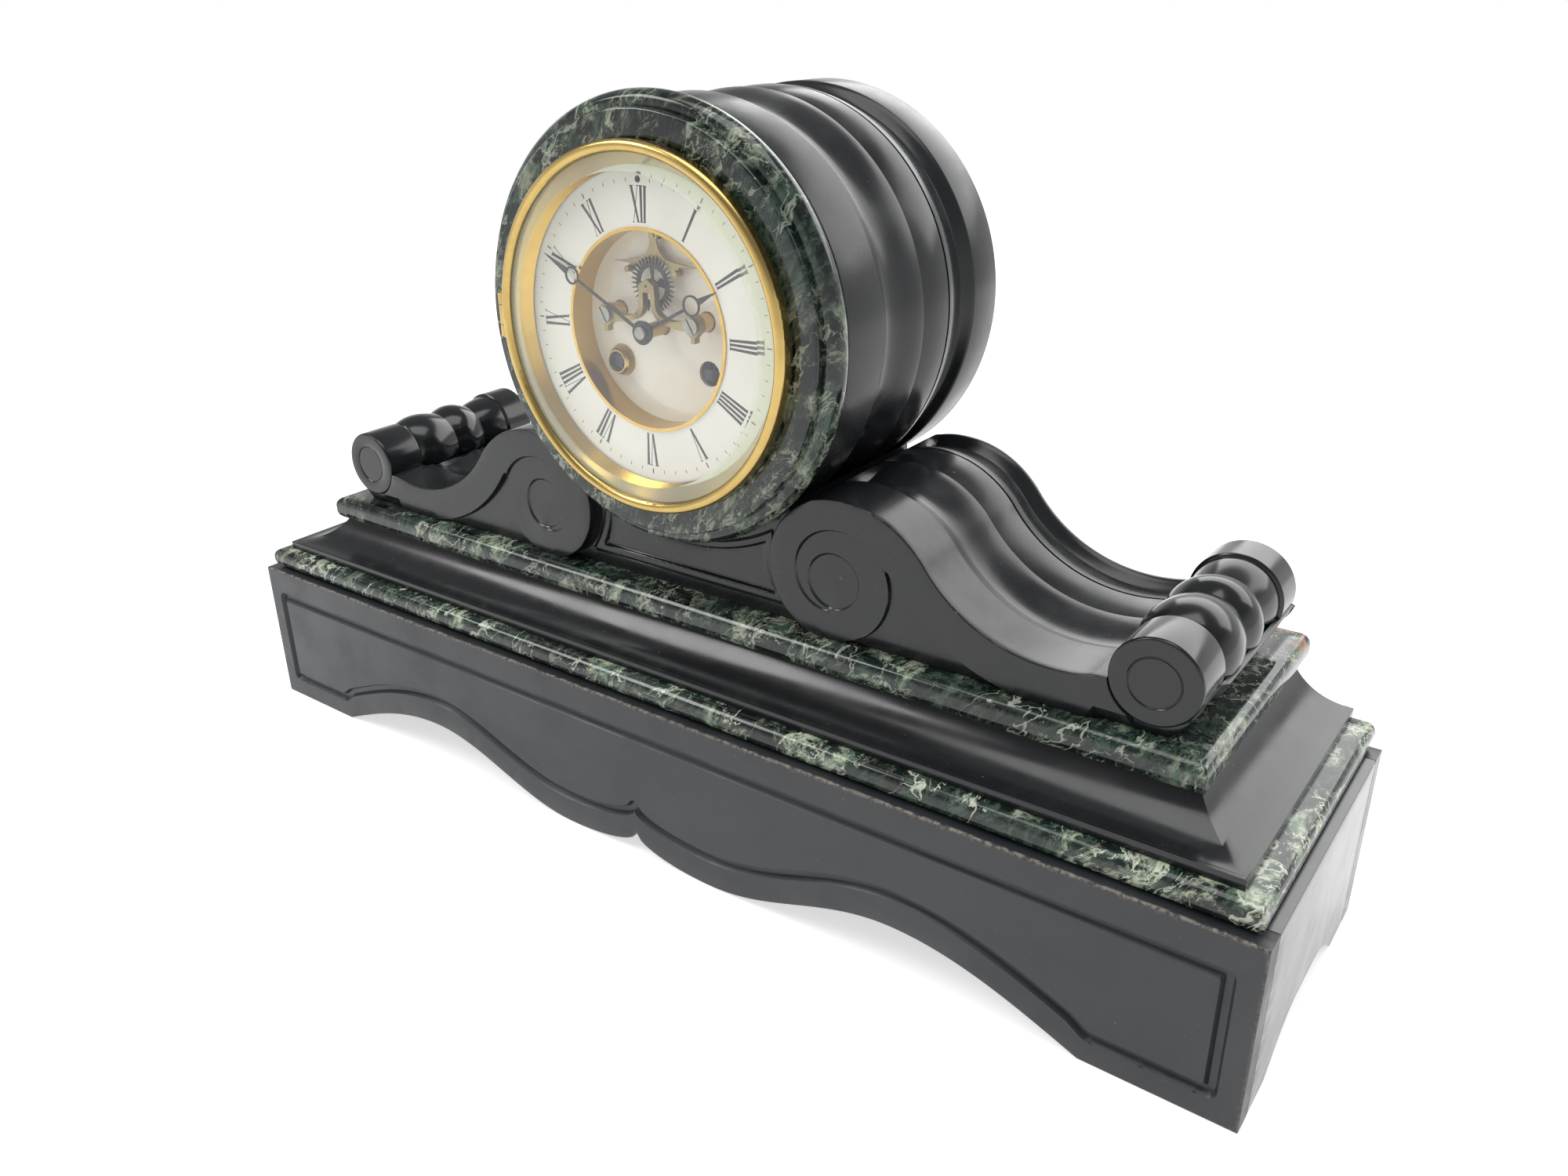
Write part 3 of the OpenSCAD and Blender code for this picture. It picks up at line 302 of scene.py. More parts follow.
@dataclass(frozen=True)
class Metal:
    """A metal with a tarnish of another colour and marks left by turning or rubbing."""

    name: str
    slot: str
    bright: tuple[float, float, float]
    tarnish: tuple[float, float, float]
    roughness: float
    tarnish_amount: float = 0.5
    turned: bool = False

    def make(self) -> bpy.types.Material:
        """Return the material; turned marks are a noise of the distance from the dial's axis."""
        mix = Recipe(self.name)
        stain = mix.noise(60.0, 6.0, 0.72, mix.warped(25.0, 0.006))
        stain = mix.range(stain, 0.32, 0.78, 0.0, self.tarnish_amount)
        spot = mix.range(mix.noise(420.0, 3.0, 0.6), 0.66, 0.74, 0.0, self.tarnish_amount)
        stain = mix.math("MAXIMUM", stain, spot)
        body = mix.mix(stain, (*self.bright, 1), (*self.tarnish, 1))
        marks = mix.noise(700.0, 2.0, 0.5)
        if self.turned:
            rings = mix.tree.nodes.new("ShaderNodeTexNoise")
            rings.noise_dimensions = "1D"
            rings.inputs["Scale"].default_value = 2600.0
            rings.inputs["Detail"].default_value = 3.0
            mix.join(mix.math("ADD", mix.radius(), mix.part(1)), rings.inputs["W"])
            marks = rings.outputs[0]
        rough = mix.math("ADD", self.roughness, mix.math("MULTIPLY", stain, 0.18))
        rough = mix.math("ADD", rough, mix.math("MULTIPLY", marks, 0.05))
        mix.set(Base_Color=body, Metallic=1.0, Roughness=rough)
        return mix.relief(marks, 0.004, 0.5).material


@dataclass(frozen=True)
class Enamel:
    """White vitreous enamel, slightly uneven under a clear gloss, warmer in the middle."""

    name: str = "white_enamel"
    slot: str = "enamel"
    tint: tuple[float, float, float] = (0.85, 0.84, 0.775)
    warm: tuple[float, float, float] = (0.82, 0.795, 0.72)

    def make(self) -> bpy.types.Material:
        """Return the material."""
        mix = Recipe(self.name)
        tone = mix.range(mix.noise(38.0, 3.0, 0.5), 0.35, 0.65)
        body = mix.mix(tone, (*self.tint, 1), (*self.warm, 1))
        mix.set(Base_Color=body, Roughness=0.16, Coat_Weight=0.5, Coat_Roughness=0.03)
        return mix.relief(mix.noise(160.0, 2.0), 0.02, 0.15).material


@dataclass(frozen=True)
class Paint:
    """Black fired paint of the numerals."""

    name: str = "dial_black"
    slot: str = "enamel"
    tone: tuple[float, float, float] = (0.012, 0.013, 0.016)

    def make(self) -> bpy.types.Material:
        """Return the material."""
        mix = Recipe(self.name)
        thin = mix.range(mix.noise(900.0, 3.0), 0.62, 0.8, 0.0, 0.5)
        mix.set(Base_Color=mix.mix(thin, (*self.tone, 1), (0.08, 0.085, 0.1, 1)), Roughness=0.3)
        return mix.material


@dataclass(frozen=True)
class Crystal:
    """Clear crown glass with a painted pale green-white reflection on its bevel, partly its own green edge
    tint; lamps shine through it on to the dial.
    """

    name: str = "crown_glass"
    slot: str = "glass"
    bevel: float = 59.8

    def make(self) -> bpy.types.Material:
        """Return the material; shadow rays pass through a transparent shader instead."""
        mix = Recipe(self.name)
        dust = mix.range(mix.noise(60.0, 5.0), 0.4, 0.8, 0.0, 0.02)
        # Painted reflection: across the bevel the glass turns pale green-white and less clear, standing in
        # for the bright surroundings it reflects; the slight green is the glass's own edge tint.
        edge = mix.range(mix.radius(), (self.bevel - 0.15) * MM, (self.bevel + 0.15) * MM)
        tint = mix.mix(edge, (0.99, 0.995, 0.985, 1), (0.88, 0.92, 0.8, 1))
        mix.set(Base_Color=tint, Roughness=dust, IOR=1.5,
                Transmission_Weight=mix.range(edge, 0.0, 1.0, 1.0, 0.86))
        clear = mix.tree.nodes.new("ShaderNodeBsdfTransparent")
        clear.inputs[0].default_value = (0.96, 0.965, 0.955, 1)
        blend = mix.tree.nodes.new("ShaderNodeMixShader")
        path = mix.tree.nodes.new("ShaderNodeLightPath")
        mix.join(path.outputs["Is Shadow Ray"], blend.inputs[0])
        mix.join(mix.shader.outputs[0], blend.inputs[1])
        mix.join(clear.outputs[0], blend.inputs[2])
        mix.join(blend.outputs[0], mix.output.inputs[0])
        return mix.material


@dataclass(frozen=True)
class Plaster:
    """Set plaster of the blocks inside the plinth: off-white, pitted and dusty."""

    name: str = "set_plaster"
    slot: str = "plaster"

    def make(self) -> bpy.types.Material:
        """Return the material."""
        mix = Recipe(self.name)
        pits = mix.noise(240.0, 6.0, 0.7)
        body = mix.mix(mix.range(pits, 0.35, 0.65), (0.3, 0.26, 0.2, 1), (0.55, 0.5, 0.42, 1))
        mix.set(Base_Color=body, Roughness=0.9)
        return mix.relief(pits, 0.4, 0.8).material


SLATE_POLISHED = Slate("slate_polished", Polish.MIRROR, 0.01)
SLATE_TURNED = Slate("slate_turned", Polish.TURNED, 0.012, 0.4)
SLATE_WORN = Slate("slate_hand_polished", Polish.WORN, 0.012)
SLATE_FRONT = Slate("slate_front", Polish.SATIN, 0.03)
SLATE_END = Slate("slate_end", Polish.MIRROR, 0.016, 0.8)
SLATE_MOULDING = Slate("slate_moulding", Polish.MIRROR, 0.012)
LOWER_MARBLE = GreenMarble(richness=1.25)
UPPER_MARBLE = GreenMarble("rusty_marble", richness=0.8, rusty=True)
RING_MARBLE = GreenMarble("ring_marble", richness=0.6)
BRASS = Metal("movement_brass", "brass", (0.62, 0.42, 0.17), (0.3, 0.17, 0.06), 0.3)
GILT = Metal("turned_gilt_brass", "polished_brass", (0.54, 0.39, 0.14), (0.34, 0.21, 0.07), 0.2, 0.35, True)
OLD_GILT = Metal("aged_gilt_brass", "polished_brass", (0.6, 0.39, 0.075), (0.36, 0.19, 0.03), 0.15,
                 0.35, True)
DULL_BRASS = Metal("dull_brass", "brass", (0.34, 0.27, 0.14), (0.16, 0.12, 0.06), 0.3, 0.6)
SATIN_BRASS = Metal("satin_brass", "brass", (0.68, 0.46, 0.18), (0.36, 0.22, 0.08), 0.24, 0.4)
STEEL = Metal("grey_steel", "steel", (0.36, 0.36, 0.33), (0.14, 0.12, 0.1), 0.28)
BELL_METAL = Metal("nickelled_bell", "steel", (0.56, 0.56, 0.57), (0.3, 0.29, 0.27), 0.18, 0.35, True)
BLUED = Metal("blued_steel", "blued_steel", (0.036, 0.038, 0.042), (0.02, 0.02, 0.021), 0.24)
ENAMEL = Enamel()
CREAM = Enamel("ivory_enamel", "enamel", (0.84, 0.8, 0.7), (0.78, 0.72, 0.61))
PAINT = Paint()
GLASS = Crystal()
PLASTER = Plaster()


class Workshop:
    """Keeps each finish's material so that it is made once."""

    made: dict[str, bpy.types.Material] = {}

    @classmethod
    def material(cls, finish: object) -> bpy.types.Material:
        """Return the material of a finish."""
        if finish.name not in cls.made:
            cls.made[finish.name] = finish.make()
        return cls.made[finish.name]

    @classmethod
    def dress(cls, finish: object, *nodes: str) -> None:
        """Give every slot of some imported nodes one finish."""
        for name in nodes:
            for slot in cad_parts[name].material_slots:
                slot.material = cls.material(finish)
            LOG.info("dressed %s in %s", name, finish.name)


# Surfaces worked out as arrays


def smooth(t: np.ndarray) -> np.ndarray:
    """Return t * t * (3 - 2 t) with t held between 0 and 1."""
    t = np.clip(t, 0.0, 1.0)
    return t * t * (3.0 - 2.0 * t)


def polar(radius: np.ndarray | float, degrees: np.ndarray | float,
          centre: Sequence[float] = (0.0, 0.0)) -> np.ndarray:
    """Return the points at radius and angle round a centre, one row each."""
    turn = np.radians(degrees)
    return np.stack([centre[0] + radius * np.cos(turn), centre[1] + radius * np.sin(turn)], axis=-1)


def grid_quads(rows: int, columns: int, close_rows: bool, close_columns: bool) -> np.ndarray:
    """Return the corner numbers of the quads of a grid of points.

    Args:
        rows: number of rows.
        columns: number of points in a row.
        close_rows: join the last row to the first.
        close_columns: join each row's last point to its first.

    Returns:
        An array of shape (quads, 4).
    """
    row = np.arange(rows if close_rows else rows - 1)[:, None]
    column = np.arange(columns if close_columns else columns - 1)[None, :]
    below = (row + 1) % rows
    beside = (column + 1) % columns
    corners = [row * columns + column, row * columns + beside,
               below * columns + beside, below * columns + column]
    return np.stack([np.broadcast_to(c, (row.size, column.size)) for c in corners], axis=-1).reshape(-1, 4)


def offset_loop(loop: np.ndarray, inset: np.ndarray | float) -> np.ndarray:
    """Move a closed anticlockwise loop inwards by inset, mitred at its corners.

    Each point moves along the mean of its two edge normals n1 and n2, by
    inset * (n1 + n2) / (1 + n1 . n2), held to 3 insets at sharp corners.
    """
    ahead = np.roll(loop, -1, axis=0) - loop
    ahead /= np.maximum(np.linalg.norm(ahead, axis=1, keepdims=True), 1e-9)
    normal = np.stack([-ahead[:, 1], ahead[:, 0]], axis=1)
    before = np.roll(normal, 1, axis=0)
    share = np.maximum(1.0 + np.sum(normal * before, axis=1, keepdims=True), 0.35)
    move = (normal + before) / share
    return loop + np.reshape(inset, (-1, 1)) * move


def ease_corners(loop: np.ndarray, radius: float, steps: int = 4, sharper_than: float = 18.0) -> np.ndarray:
    """Round the corners of a closed loop.

    Every corner v that turns by more than sharper_than degrees becomes the curve
    (1-s)^2 a + 2 s (1-s) v + s^2 b between points a and b on its two edges, radius
    away from it or at 45% of the edge.
    """
    back = np.roll(loop, 1, axis=0) - loop
    ahead = np.roll(loop, -1, axis=0) - loop
    back_length = np.linalg.norm(back, axis=1)
    ahead_length = np.linalg.norm(ahead, axis=1)
    cosine = np.sum(back * ahead, axis=1) / np.maximum(back_length * ahead_length, 1e-9)
    bend = 180.0 - np.degrees(np.arccos(np.clip(cosine, -1.0, 1.0)))
    reach = np.minimum(radius, 0.45 * np.minimum(back_length, ahead_length))
    reach = np.where(bend > sharper_than, reach, 0.0)
    a = loop + back * (reach / np.maximum(back_length, 1e-9))[:, None]
    b = loop + ahead * (reach / np.maximum(ahead_length, 1e-9))[:, None]
    s = np.linspace(0.0, 1.0, steps + 1)[None, :, None]
    curve = (1 - s) ** 2 * a[:, None] + 2 * s * (1 - s) * loop[:, None] + s * s * b[:, None]
    flat = curve.reshape(-1, loop.shape[1])
    gap = np.linalg.norm(flat - np.roll(flat, 1, axis=0), axis=1)
    return flat[gap > 1e-4]


def refine(loop: np.ndarray, step: float, closed: bool = True) -> np.ndarray:
    """Return the path with points added so that they lie about step apart, corners kept."""
    ends = np.roll(loop, -1, axis=0) if closed else loop[1:]
    starts = loop if closed else loop[:-1]
    counts = np.maximum(np.ceil(np.linalg.norm(ends - starts, axis=1) / step).astype(int), 1)
    owner = np.repeat(np.arange(len(starts)), counts)
    first = np.repeat(np.cumsum(counts) - counts, counts)
    share = ((np.arange(counts.sum()) - first) / counts[owner])[:, None]
    path = starts[owner] + share * (ends[owner] - starts[owner])
    return path if closed else np.vstack([path, loop[-1:]])


def distance_to(points: np.ndarray, path: np.ndarray, closed: bool = True) -> np.ndarray:
    """Return each point's distance to a path of straight pieces."""
    a = path if closed else path[:-1]
    b = np.roll(path, -1, axis=0) if closed else path[1:]
    run = b - a
    square = np.maximum(np.sum(run * run, axis=1), 1e-12)
    best = np.full(len(points), np.inf)
    for start in range(0, len(points), 4000):
        chunk = points[start:start + 4000, None, :] - a[None]
        t = np.clip(np.sum(chunk * run[None], axis=2) / square, 0.0, 1.0)
        gap = chunk - t[..., None] * run[None]
        best[start:start + 4000] = np.sqrt(np.min(np.sum(gap * gap, axis=2), axis=1))
    return best


def inside(points: np.ndarray, loop: np.ndarray) -> np.ndarray:
    """Return which points lie in a closed loop, by counting its edges to their right."""
    a = loop
    b = np.roll(loop, -1, axis=0)
    x, y = points[:, 0:1], points[:, 1:2]
    spans = (a[None, :, 1] > y) != (b[None, :, 1] > y)
    rise = np.where(b[:, 1] == a[:, 1], 1e-12, b[:, 1] - a[:, 1])
    cross = a[None, :, 0] + (y - a[None, :, 1]) * (b - a)[None, :, 0] / rise[None]
    return (np.sum(spans & (x < cross), axis=1) % 2) == 1


def ribs_along(path: np.ndarray, offsets: Sequence[float], closed: bool) -> np.ndarray:
    """Return rows of points beside a path, at each signed offset along its normals."""
    tangent = np.gradient(path, axis=0)
    if closed:
        tangent = np.roll(path, -1, axis=0) - np.roll(path, 1, axis=0)
    tangent /= np.maximum(np.linalg.norm(tangent, axis=1, keepdims=True), 1e-9)
    normal = np.stack([-tangent[:, 1], tangent[:, 0]], axis=1)
    rows = path[None] + np.asarray(offsets)[:, None, None] * normal[None]
    flat = rows.reshape(-1, 2)
    wanted = np.repeat(np.abs(np.asarray(offsets)), len(path))
    return flat[distance_to(flat, path, closed) > wanted - 0.05]


def lay(name: str, points: np.ndarray, faces: Sequence, finish: object, body: str = CASE,
        stands_for: Sequence[str] = (), sharp: float = 34.0,
        wear: np.ndarray | None = None) -> bpy.types.Object:
    """Lay a mesh down as one piece of the clock.

    Args:
        name: the piece's name.
        points: its points in millimetres, one row each.
        faces: sequences of corner numbers.
        finish: the finish it wears.
        body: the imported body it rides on.
        stands_for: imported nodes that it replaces.
        sharp: edges that turn by more degrees than this stay crisp.
        wear: how worn each point is, from 0 to 1.

    Returns:
        The new object, its normals outwards and doubled points merged.
    """
    mesh = bpy.data.meshes.new(name)
    mesh.from_pydata((points * MM).tolist(), [], [list(map(int, f)) for f in faces])
    if wear is not None:
        layer = mesh.attributes.new("wear", "FLOAT", "POINT")
        layer.data.foreach_set("value", np.ascontiguousarray(wear, dtype=np.float32))
    piece = bpy.data.objects.new(name, mesh)
    bpy.context.scene.collection.objects.link(piece)
    settle(piece, sharp)
    mesh.materials.append(Workshop.material(finish))
    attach(piece, body)
    if stands_for:
        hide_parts(*stands_for)
    LOG.info("made %s: %d faces", name, len(mesh.polygons))
    return piece


def settle(piece: bpy.types.Object, sharp: float) -> None:
    """Merge doubled points, turn the faces outwards and shade all but the sharp edges smooth."""
    work = bmesh.new()
    work.from_mesh(piece.data)
    bmesh.ops.remove_doubles(work, verts=work.verts, dist=2e-6)
    bmesh.ops.dissolve_degenerate(work, edges=work.edges, dist=1e-7)
    bmesh.ops.recalc_face_normals(work, faces=work.faces)
    work.to_mesh(piece.data)
    work.free()
    piece.data.shade_smooth()
    piece.data.set_sharp_from_angle(angle=math.radians(sharp))


def cut_box(piece: bpy.types.Object, low: Sequence[float], high: Sequence[float],
            sharp: float = 34.0) -> None:
    """Take a box, given by two corners in millimetres, out of a piece."""
    bpy.ops.mesh.primitive_cube_add(size=1.0)
    tool = bpy.context.object
    low, high = np.array(low) * MM, np.array(high) * MM
    size = Matrix.Diagonal((*(high - low), 1.0))
    tool.data.transform(Matrix.Translation(Vector((low + high) / 2)) @ size)
    cut = piece.modifiers.new("cut", "BOOLEAN")
    cut.operation = "DIFFERENCE"
    cut.solver = "EXACT"
    cut.object = tool
    bpy.context.view_layer.objects.active = piece
    bpy.ops.object.modifier_apply(modifier="cut")
    bpy.data.objects.remove(tool)
    piece.data.shade_smooth()
    piece.data.set_sharp_from_angle(angle=math.radians(sharp))


def turned(profile: np.ndarray, axis: Sequence[float] = (0.0, AXIS_Z), steps: int = 256) -> tuple:
    """Turn a closed profile of (radius, y) round the line along y through axis (x, z).

    The point is (ax + r cos t, y, az + r sin t) for t going once round.

    Returns:
        The points and the quads.
    """
    turn = np.linspace(0.0, 2 * np.pi, steps, endpoint=False)[:, None]
    radius, depth = profile[None, :, 0], profile[None, :, 1]
    points = np.stack([axis[0] + radius * np.cos(turn), np.broadcast_to(depth, (steps, len(profile))),
                       axis[1] + radius * np.sin(turn)], axis=-1)
    return points.reshape(-1, 3), grid_quads(steps, len(profile), True, True)


def mitred(profile: np.ndarray, half_x: float, front: float, back: float, back_out: np.ndarray) -> tuple:
    """Carry a moulding's profile round a rectangle, mitred at its corners, and close top and bottom.

    With the way round the rectangle given by (u, v), each from -1 to 1, the point is
    x = u (half_x + out), y = front - out on the near side and back + back_out on the far one.

    Args:
        profile: rows of (out, z), upwards; out is measured from the nominal rectangle.
        half_x: half the rectangle's width.
        front: y of its near side.
        back: y of its far side.
        back_out: out on the far side, for each row of the profile.

    Returns:
        The points and the faces.
    """
    side = np.linspace(-1.0, 1.0, 60)[:-1]
    short = np.linspace(-1.0, 1.0, 18)[:-1]
    u = np.concatenate([side, np.ones(len(short)), -side, -np.ones(len(short))])
    v = np.concatenate([-np.ones(len(side)), short, np.ones(len(side)), -short])
    out, z = profile[:, 0][:, None], profile[:, 1][:, None]
    near = front - out
    far = back + back_out[:, None]
    x = u[None] * (half_x + out)
    y = near + (v[None] + 1.0) / 2.0 * (far - near)
    points = np.stack([x, y, np.broadcast_to(z, x.shape)], axis=-1)
    rows, columns = x.shape
    faces = grid_quads(rows, columns, False, True).tolist()
    faces.append(list(range(columns))[::-1])
    faces.append(list(range((rows - 1) * columns, rows * columns)))
    return points.reshape(-1, 3), faces


def quarter(centre: Sequence[float], radius: float, start: float, end: float, steps: int = 8) -> np.ndarray:
    """Return an arc of a profile from start to end degrees."""
    return polar(radius, np.linspace(start, end, steps), centre)


# Carved plates


@dataclass
class Line:
    """A carved line: a groove along a path, flat-bottomed between walls that ease in."""

    path: np.ndarray
    width: float
    depth: float
    wall: float = 0.7
    closed: bool = False
    pitch: float = 1.4

    def rows(self) -> np.ndarray:
        """Return mesh points beside the path where the groove bends the surface."""
        half, wall = self.width / 2, min(self.wall, self.width / 2)
        near = [half + 0.35, half, half - wall / 3, half - 2 * wall / 3, half - wall]
        offsets = near + [0.0] + [-n for n in near[::-1]]
        return ribs_along(refine(self.path, self.pitch, self.closed), offsets, self.closed)

    def cut(self, points: np.ndarray) -> np.ndarray:
        """Return the groove's depth at points: depth * smooth((width / 2 - distance) / wall)."""
        gap = distance_to(points, self.path, self.closed)
        return self.depth * smooth((self.width / 2 - gap) / min(self.wall, self.width / 2))


@dataclass
class Plate:
    """A stone plate: an outline in (x, z), an eased front arris, a carved front and a moulded edge.

    The edge's point at station s and depth y is outline(s) moved inwards by moulding(s, y).
    """

    outline: np.ndarray
    front: float
    back: float
    arris: float = 0.7
    depths: np.ndarray = field(default_factory=lambda: np.array([]))
    moulding: Callable | None = None
    lines: Sequence[Line] = ()
    relief: Callable | None = None
    rows: Sequence[np.ndarray] = ()
    filler: float = 7.0
    back_arris: float = 0.4

    def depth(self, points: np.ndarray) -> np.ndarray:
        """Return how far the carved front lies behind the plate's front, in mm."""
        total = self.relief(points) if self.relief else np.zeros(len(points))
        for line in self.lines:
            total = np.maximum(total, line.cut(points)) if self.relief is None else total + line.cut(points)
        return total

    def face(self, rim: np.ndarray) -> tuple[np.ndarray, np.ndarray]:
        """Triangulate the front inside its rim through the rows beside each carved line.

        Returns:
            The flat points, the rim's first, and the triangles.
        """
        low, high = rim.min(axis=0), rim.max(axis=0)
        mesh_x, mesh_z = np.meshgrid(np.arange(low[0], high[0], self.filler),
                                     np.arange(low[1], high[1], self.filler))
        net = np.stack([mesh_x.ravel() + 0.31, mesh_z.ravel() + 0.17], axis=1)
        near = [net] + [line.rows() for line in self.lines] + list(self.rows)
        spare = np.vstack(near)
        spare = spare[inside(spare, rim)]
        spare = spare[distance_to(spare, rim) > 0.3]
        first = np.unique(np.round(spare / 0.16).astype(int), axis=0, return_index=True)[1]
        spare = spare[np.sort(first)]
        flat = np.vstack([rim, spare])
        found = delaunay_2d_cdt([Vector(p) for p in flat], [], [list(range(len(rim)))], 1, 1e-6)
        return np.array([tuple(v) for v in found[0]]), np.array([tuple(f) for f in found[2]], dtype=int)

    def build(self) -> tuple[np.ndarray, list]:
        """Return the plate's points as (x, y, z) rows and its faces."""
        ease = np.radians(np.linspace(0, 90, 4)) if self.arris > 0 else np.array([0.0])
        start_in = self.arris * (1 - np.sin(ease))
        start_y = self.arris * (1 - np.cos(ease))
        rim = offset_loop(self.outline, float(start_in[0]))
        flat, triangles = self.face(rim)
        sunk = self.depth(flat)
        front = np.stack([flat[:, 0], self.front + sunk, flat[:, 1]], axis=1)
        rim_sunk = self.depth(rim)
        y_rows = np.concatenate([start_y, self.depths - self.front,
                                 [self.back - self.front - self.back_arris, self.back - self.front]])
        insets = np.concatenate([start_in, np.zeros(len(self.depths) + 1), [self.back_arris]])
        loops = []
        for run, inset in zip(y_rows, insets):
            y = np.maximum(self.front + run, np.minimum(self.front + rim_sunk + run, self.back))
            extra = self.moulding(self.outline, y) if self.moulding else 0.0
            ring = offset_loop(self.outline, inset + extra)
            loops.append(np.stack([ring[:, 0], y, ring[:, 1]], axis=1))
        wall = np.stack(loops)
        count = wall.shape[1]
        shift = len(front)
        faces = triangles.tolist() + (grid_quads(len(loops), count, False, True) + shift).tolist()
        faces.append(list(range(shift + (len(loops) - 1) * count, shift + len(loops) * count)))
        return np.vstack([front, wall.reshape(-1, 3)]), faces


# Plinth


@dataclass
class Plinth:
    """Four slate slabs with shaped aprons; the front one has an incised panel line."""

    half_width: float = 260.0
    height: float = 75.0
    thickness: float = 10.0
    front: float = -77.0
    back: float = 63.0
    lobe: float = 40.0
    cusp: float = 10.6
    arch: float = 130.0
    rise: float = 20.8
    foot: float = 205.0
    channel: float = 4.8
    channel_depth: float = 2.1

    def apron(self, x: np.ndarray) -> np.ndarray:
        """Return the height of the front slab's lower edge at a distance x from the middle.

        A quarter circle falls from the cusp, a half wave climbs to the arch and a
        quarter wave comes down to the foot.
        """
        x = np.abs(x)
        near = self.cusp * (1 - np.sqrt(np.clip(1 - (1 - x / self.lobe) ** 2, 0, 1)))
        climb = self.rise * (1 - np.cos(np.pi * (x - self.lobe) / (self.arch - self.lobe))) / 2
        fall = self.rise * np.cos(np.pi / 2 * (x - self.arch) / (self.foot - self.arch))
        return np.select([x < self.lobe, x < self.arch, x < self.foot], [near, climb, fall], 0.0)

    def outline(self) -> np.ndarray:
        """Return the front slab's outline, anticlockwise from its lower left corner."""
        x = np.concatenate([-self.half_width + np.linspace(0, 55, 8),
                            np.linspace(-self.foot, self.foot, 165)[1:-1],
                            self.half_width - np.linspace(55, 0, 8)])
        x = np.union1d(x, [0.0, -self.lobe, self.lobe])
        low = np.stack([x, self.apron(x)], axis=1)
        side = np.stack([np.full(7, self.half_width), np.linspace(0, self.height, 8)[1:]], axis=1)
        top_x = np.linspace(self.half_width, -self.half_width, 90)[1:]
        top = np.stack([top_x, np.full(len(top_x), self.height)], axis=1)
        left = np.stack([np.full(6, -self.half_width), np.linspace(self.height, 0, 8)[1:-1]], axis=1)
        return np.vstack([low, side, top, left])

    def panel(self) -> np.ndarray:
        """Return the middle of the incised line, which follows the apron at a fixed height above it."""
        mid = self.channel / 2
        side = self.half_width - 8 - mid
        low = 9.4 + mid
        corner = self.foot + 3.5 - mid / 2
        x = np.linspace(-(self.foot - 4), self.foot - 4, 161)
        curve = np.stack([x, self.apron(x) + 12.4 + mid], axis=1)
        top = self.height - 12.5 - mid
        return np.vstack([[-side, low], [-corner, low], curve, [corner, low], [side, low], [side, top],
                          [-side, top]])

    def front_slab(self) -> None:
        """Build the front slab with its incised line and worn top arris."""
        line = Line(ease_corners(self.panel(), 1.2), self.channel, self.channel_depth, 1.2, True)
        x = np.arange(-self.half_width + 1.5, self.half_width - 1, 3.0)
        under = [np.stack([x, np.full(len(x), self.height - drop)], axis=1) for drop in (1.2, 2.0)]
        z = np.arange(3.0, self.height - 2, 3.0)
        beside = [np.stack([np.full(len(z), side * (self.half_width - inset)), z], axis=1)
                  for side in (-1, 1) for inset in (1.2, 2.0)]
        plate = Plate(self.outline(), self.front, self.front + self.thickness, 0.7,
                      depths=self.front + np.array([1.0, 1.5]), lines=[line], rows=under + beside,
                      filler=9.0)
        points, faces = plate.build()
        top = smooth((points[:, 2] - self.height + 1.1) / 0.8)
        top = top * smooth((self.front + 1.4 - points[:, 1]) / 0.6)
        ends = smooth((np.abs(points[:, 0]) - self.half_width + 1.2) / 0.8) * 0.35
        hem = smooth((self.apron(points[:, 0]) + 0.9 - points[:, 2]) / 0.6) * 0.2
        lay("plinth_front_slab", points, faces, SLATE_FRONT, CASE, ["plinth_front"],
            wear=np.maximum.reduce([top, ends, hem]))

    def back_slab(self) -> None:
        """Build the plain back slab, its face towards the back."""
        outline = self.outline()
        points, faces = Plate(outline, -self.back, -self.back + self.thickness, 0.6, filler=14.0).build()
        points[:, 1] = -points[:, 1]
        lay("plinth_back_slab", points, faces, SLATE_WORN, CASE, ["plinth_back"])

    def end_slab(self, side: Side) -> None:
        """Build an end slab: two feet and a low arch, drawn along y and polished outside."""
        y0, y1 = self.front + self.thickness, self.back - self.thickness
        run = np.linspace(0, 1, 12)
        rise = np.stack([y0 + 18 + 30 * run, 15 * np.sin(np.pi / 2 * run)], axis=1)
        fall = np.stack([y1 - 18 - 30 * (1 - run), 15 * np.cos(np.pi / 2 * run)], axis=1)
        corners = np.vstack([[y0, 0], rise, fall, [y1, 0], [y1, self.height], [y0, self.height]])
        outline = refine(corners, 6.0)
        face, back = -self.half_width, -self.half_width + self.thickness
        points, faces = Plate(outline, face, back, 0.35, filler=10.0).build()
        world = np.stack([-side.value * points[:, 1], points[:, 0], points[:, 2]], axis=1)
        name = side.name.lower()
        lay(f"plinth_end_{name}", world, faces, SLATE_END, CASE, [f"plinth_side_{name}"])

    def build(self) -> None:
        """Build the four slabs and dress the blocks inside."""
        self.front_slab()
        self.back_slab()
        for side in Side:
            self.end_slab(side)
        Workshop.dress(PLASTER, "corner_blocks")


# Steps


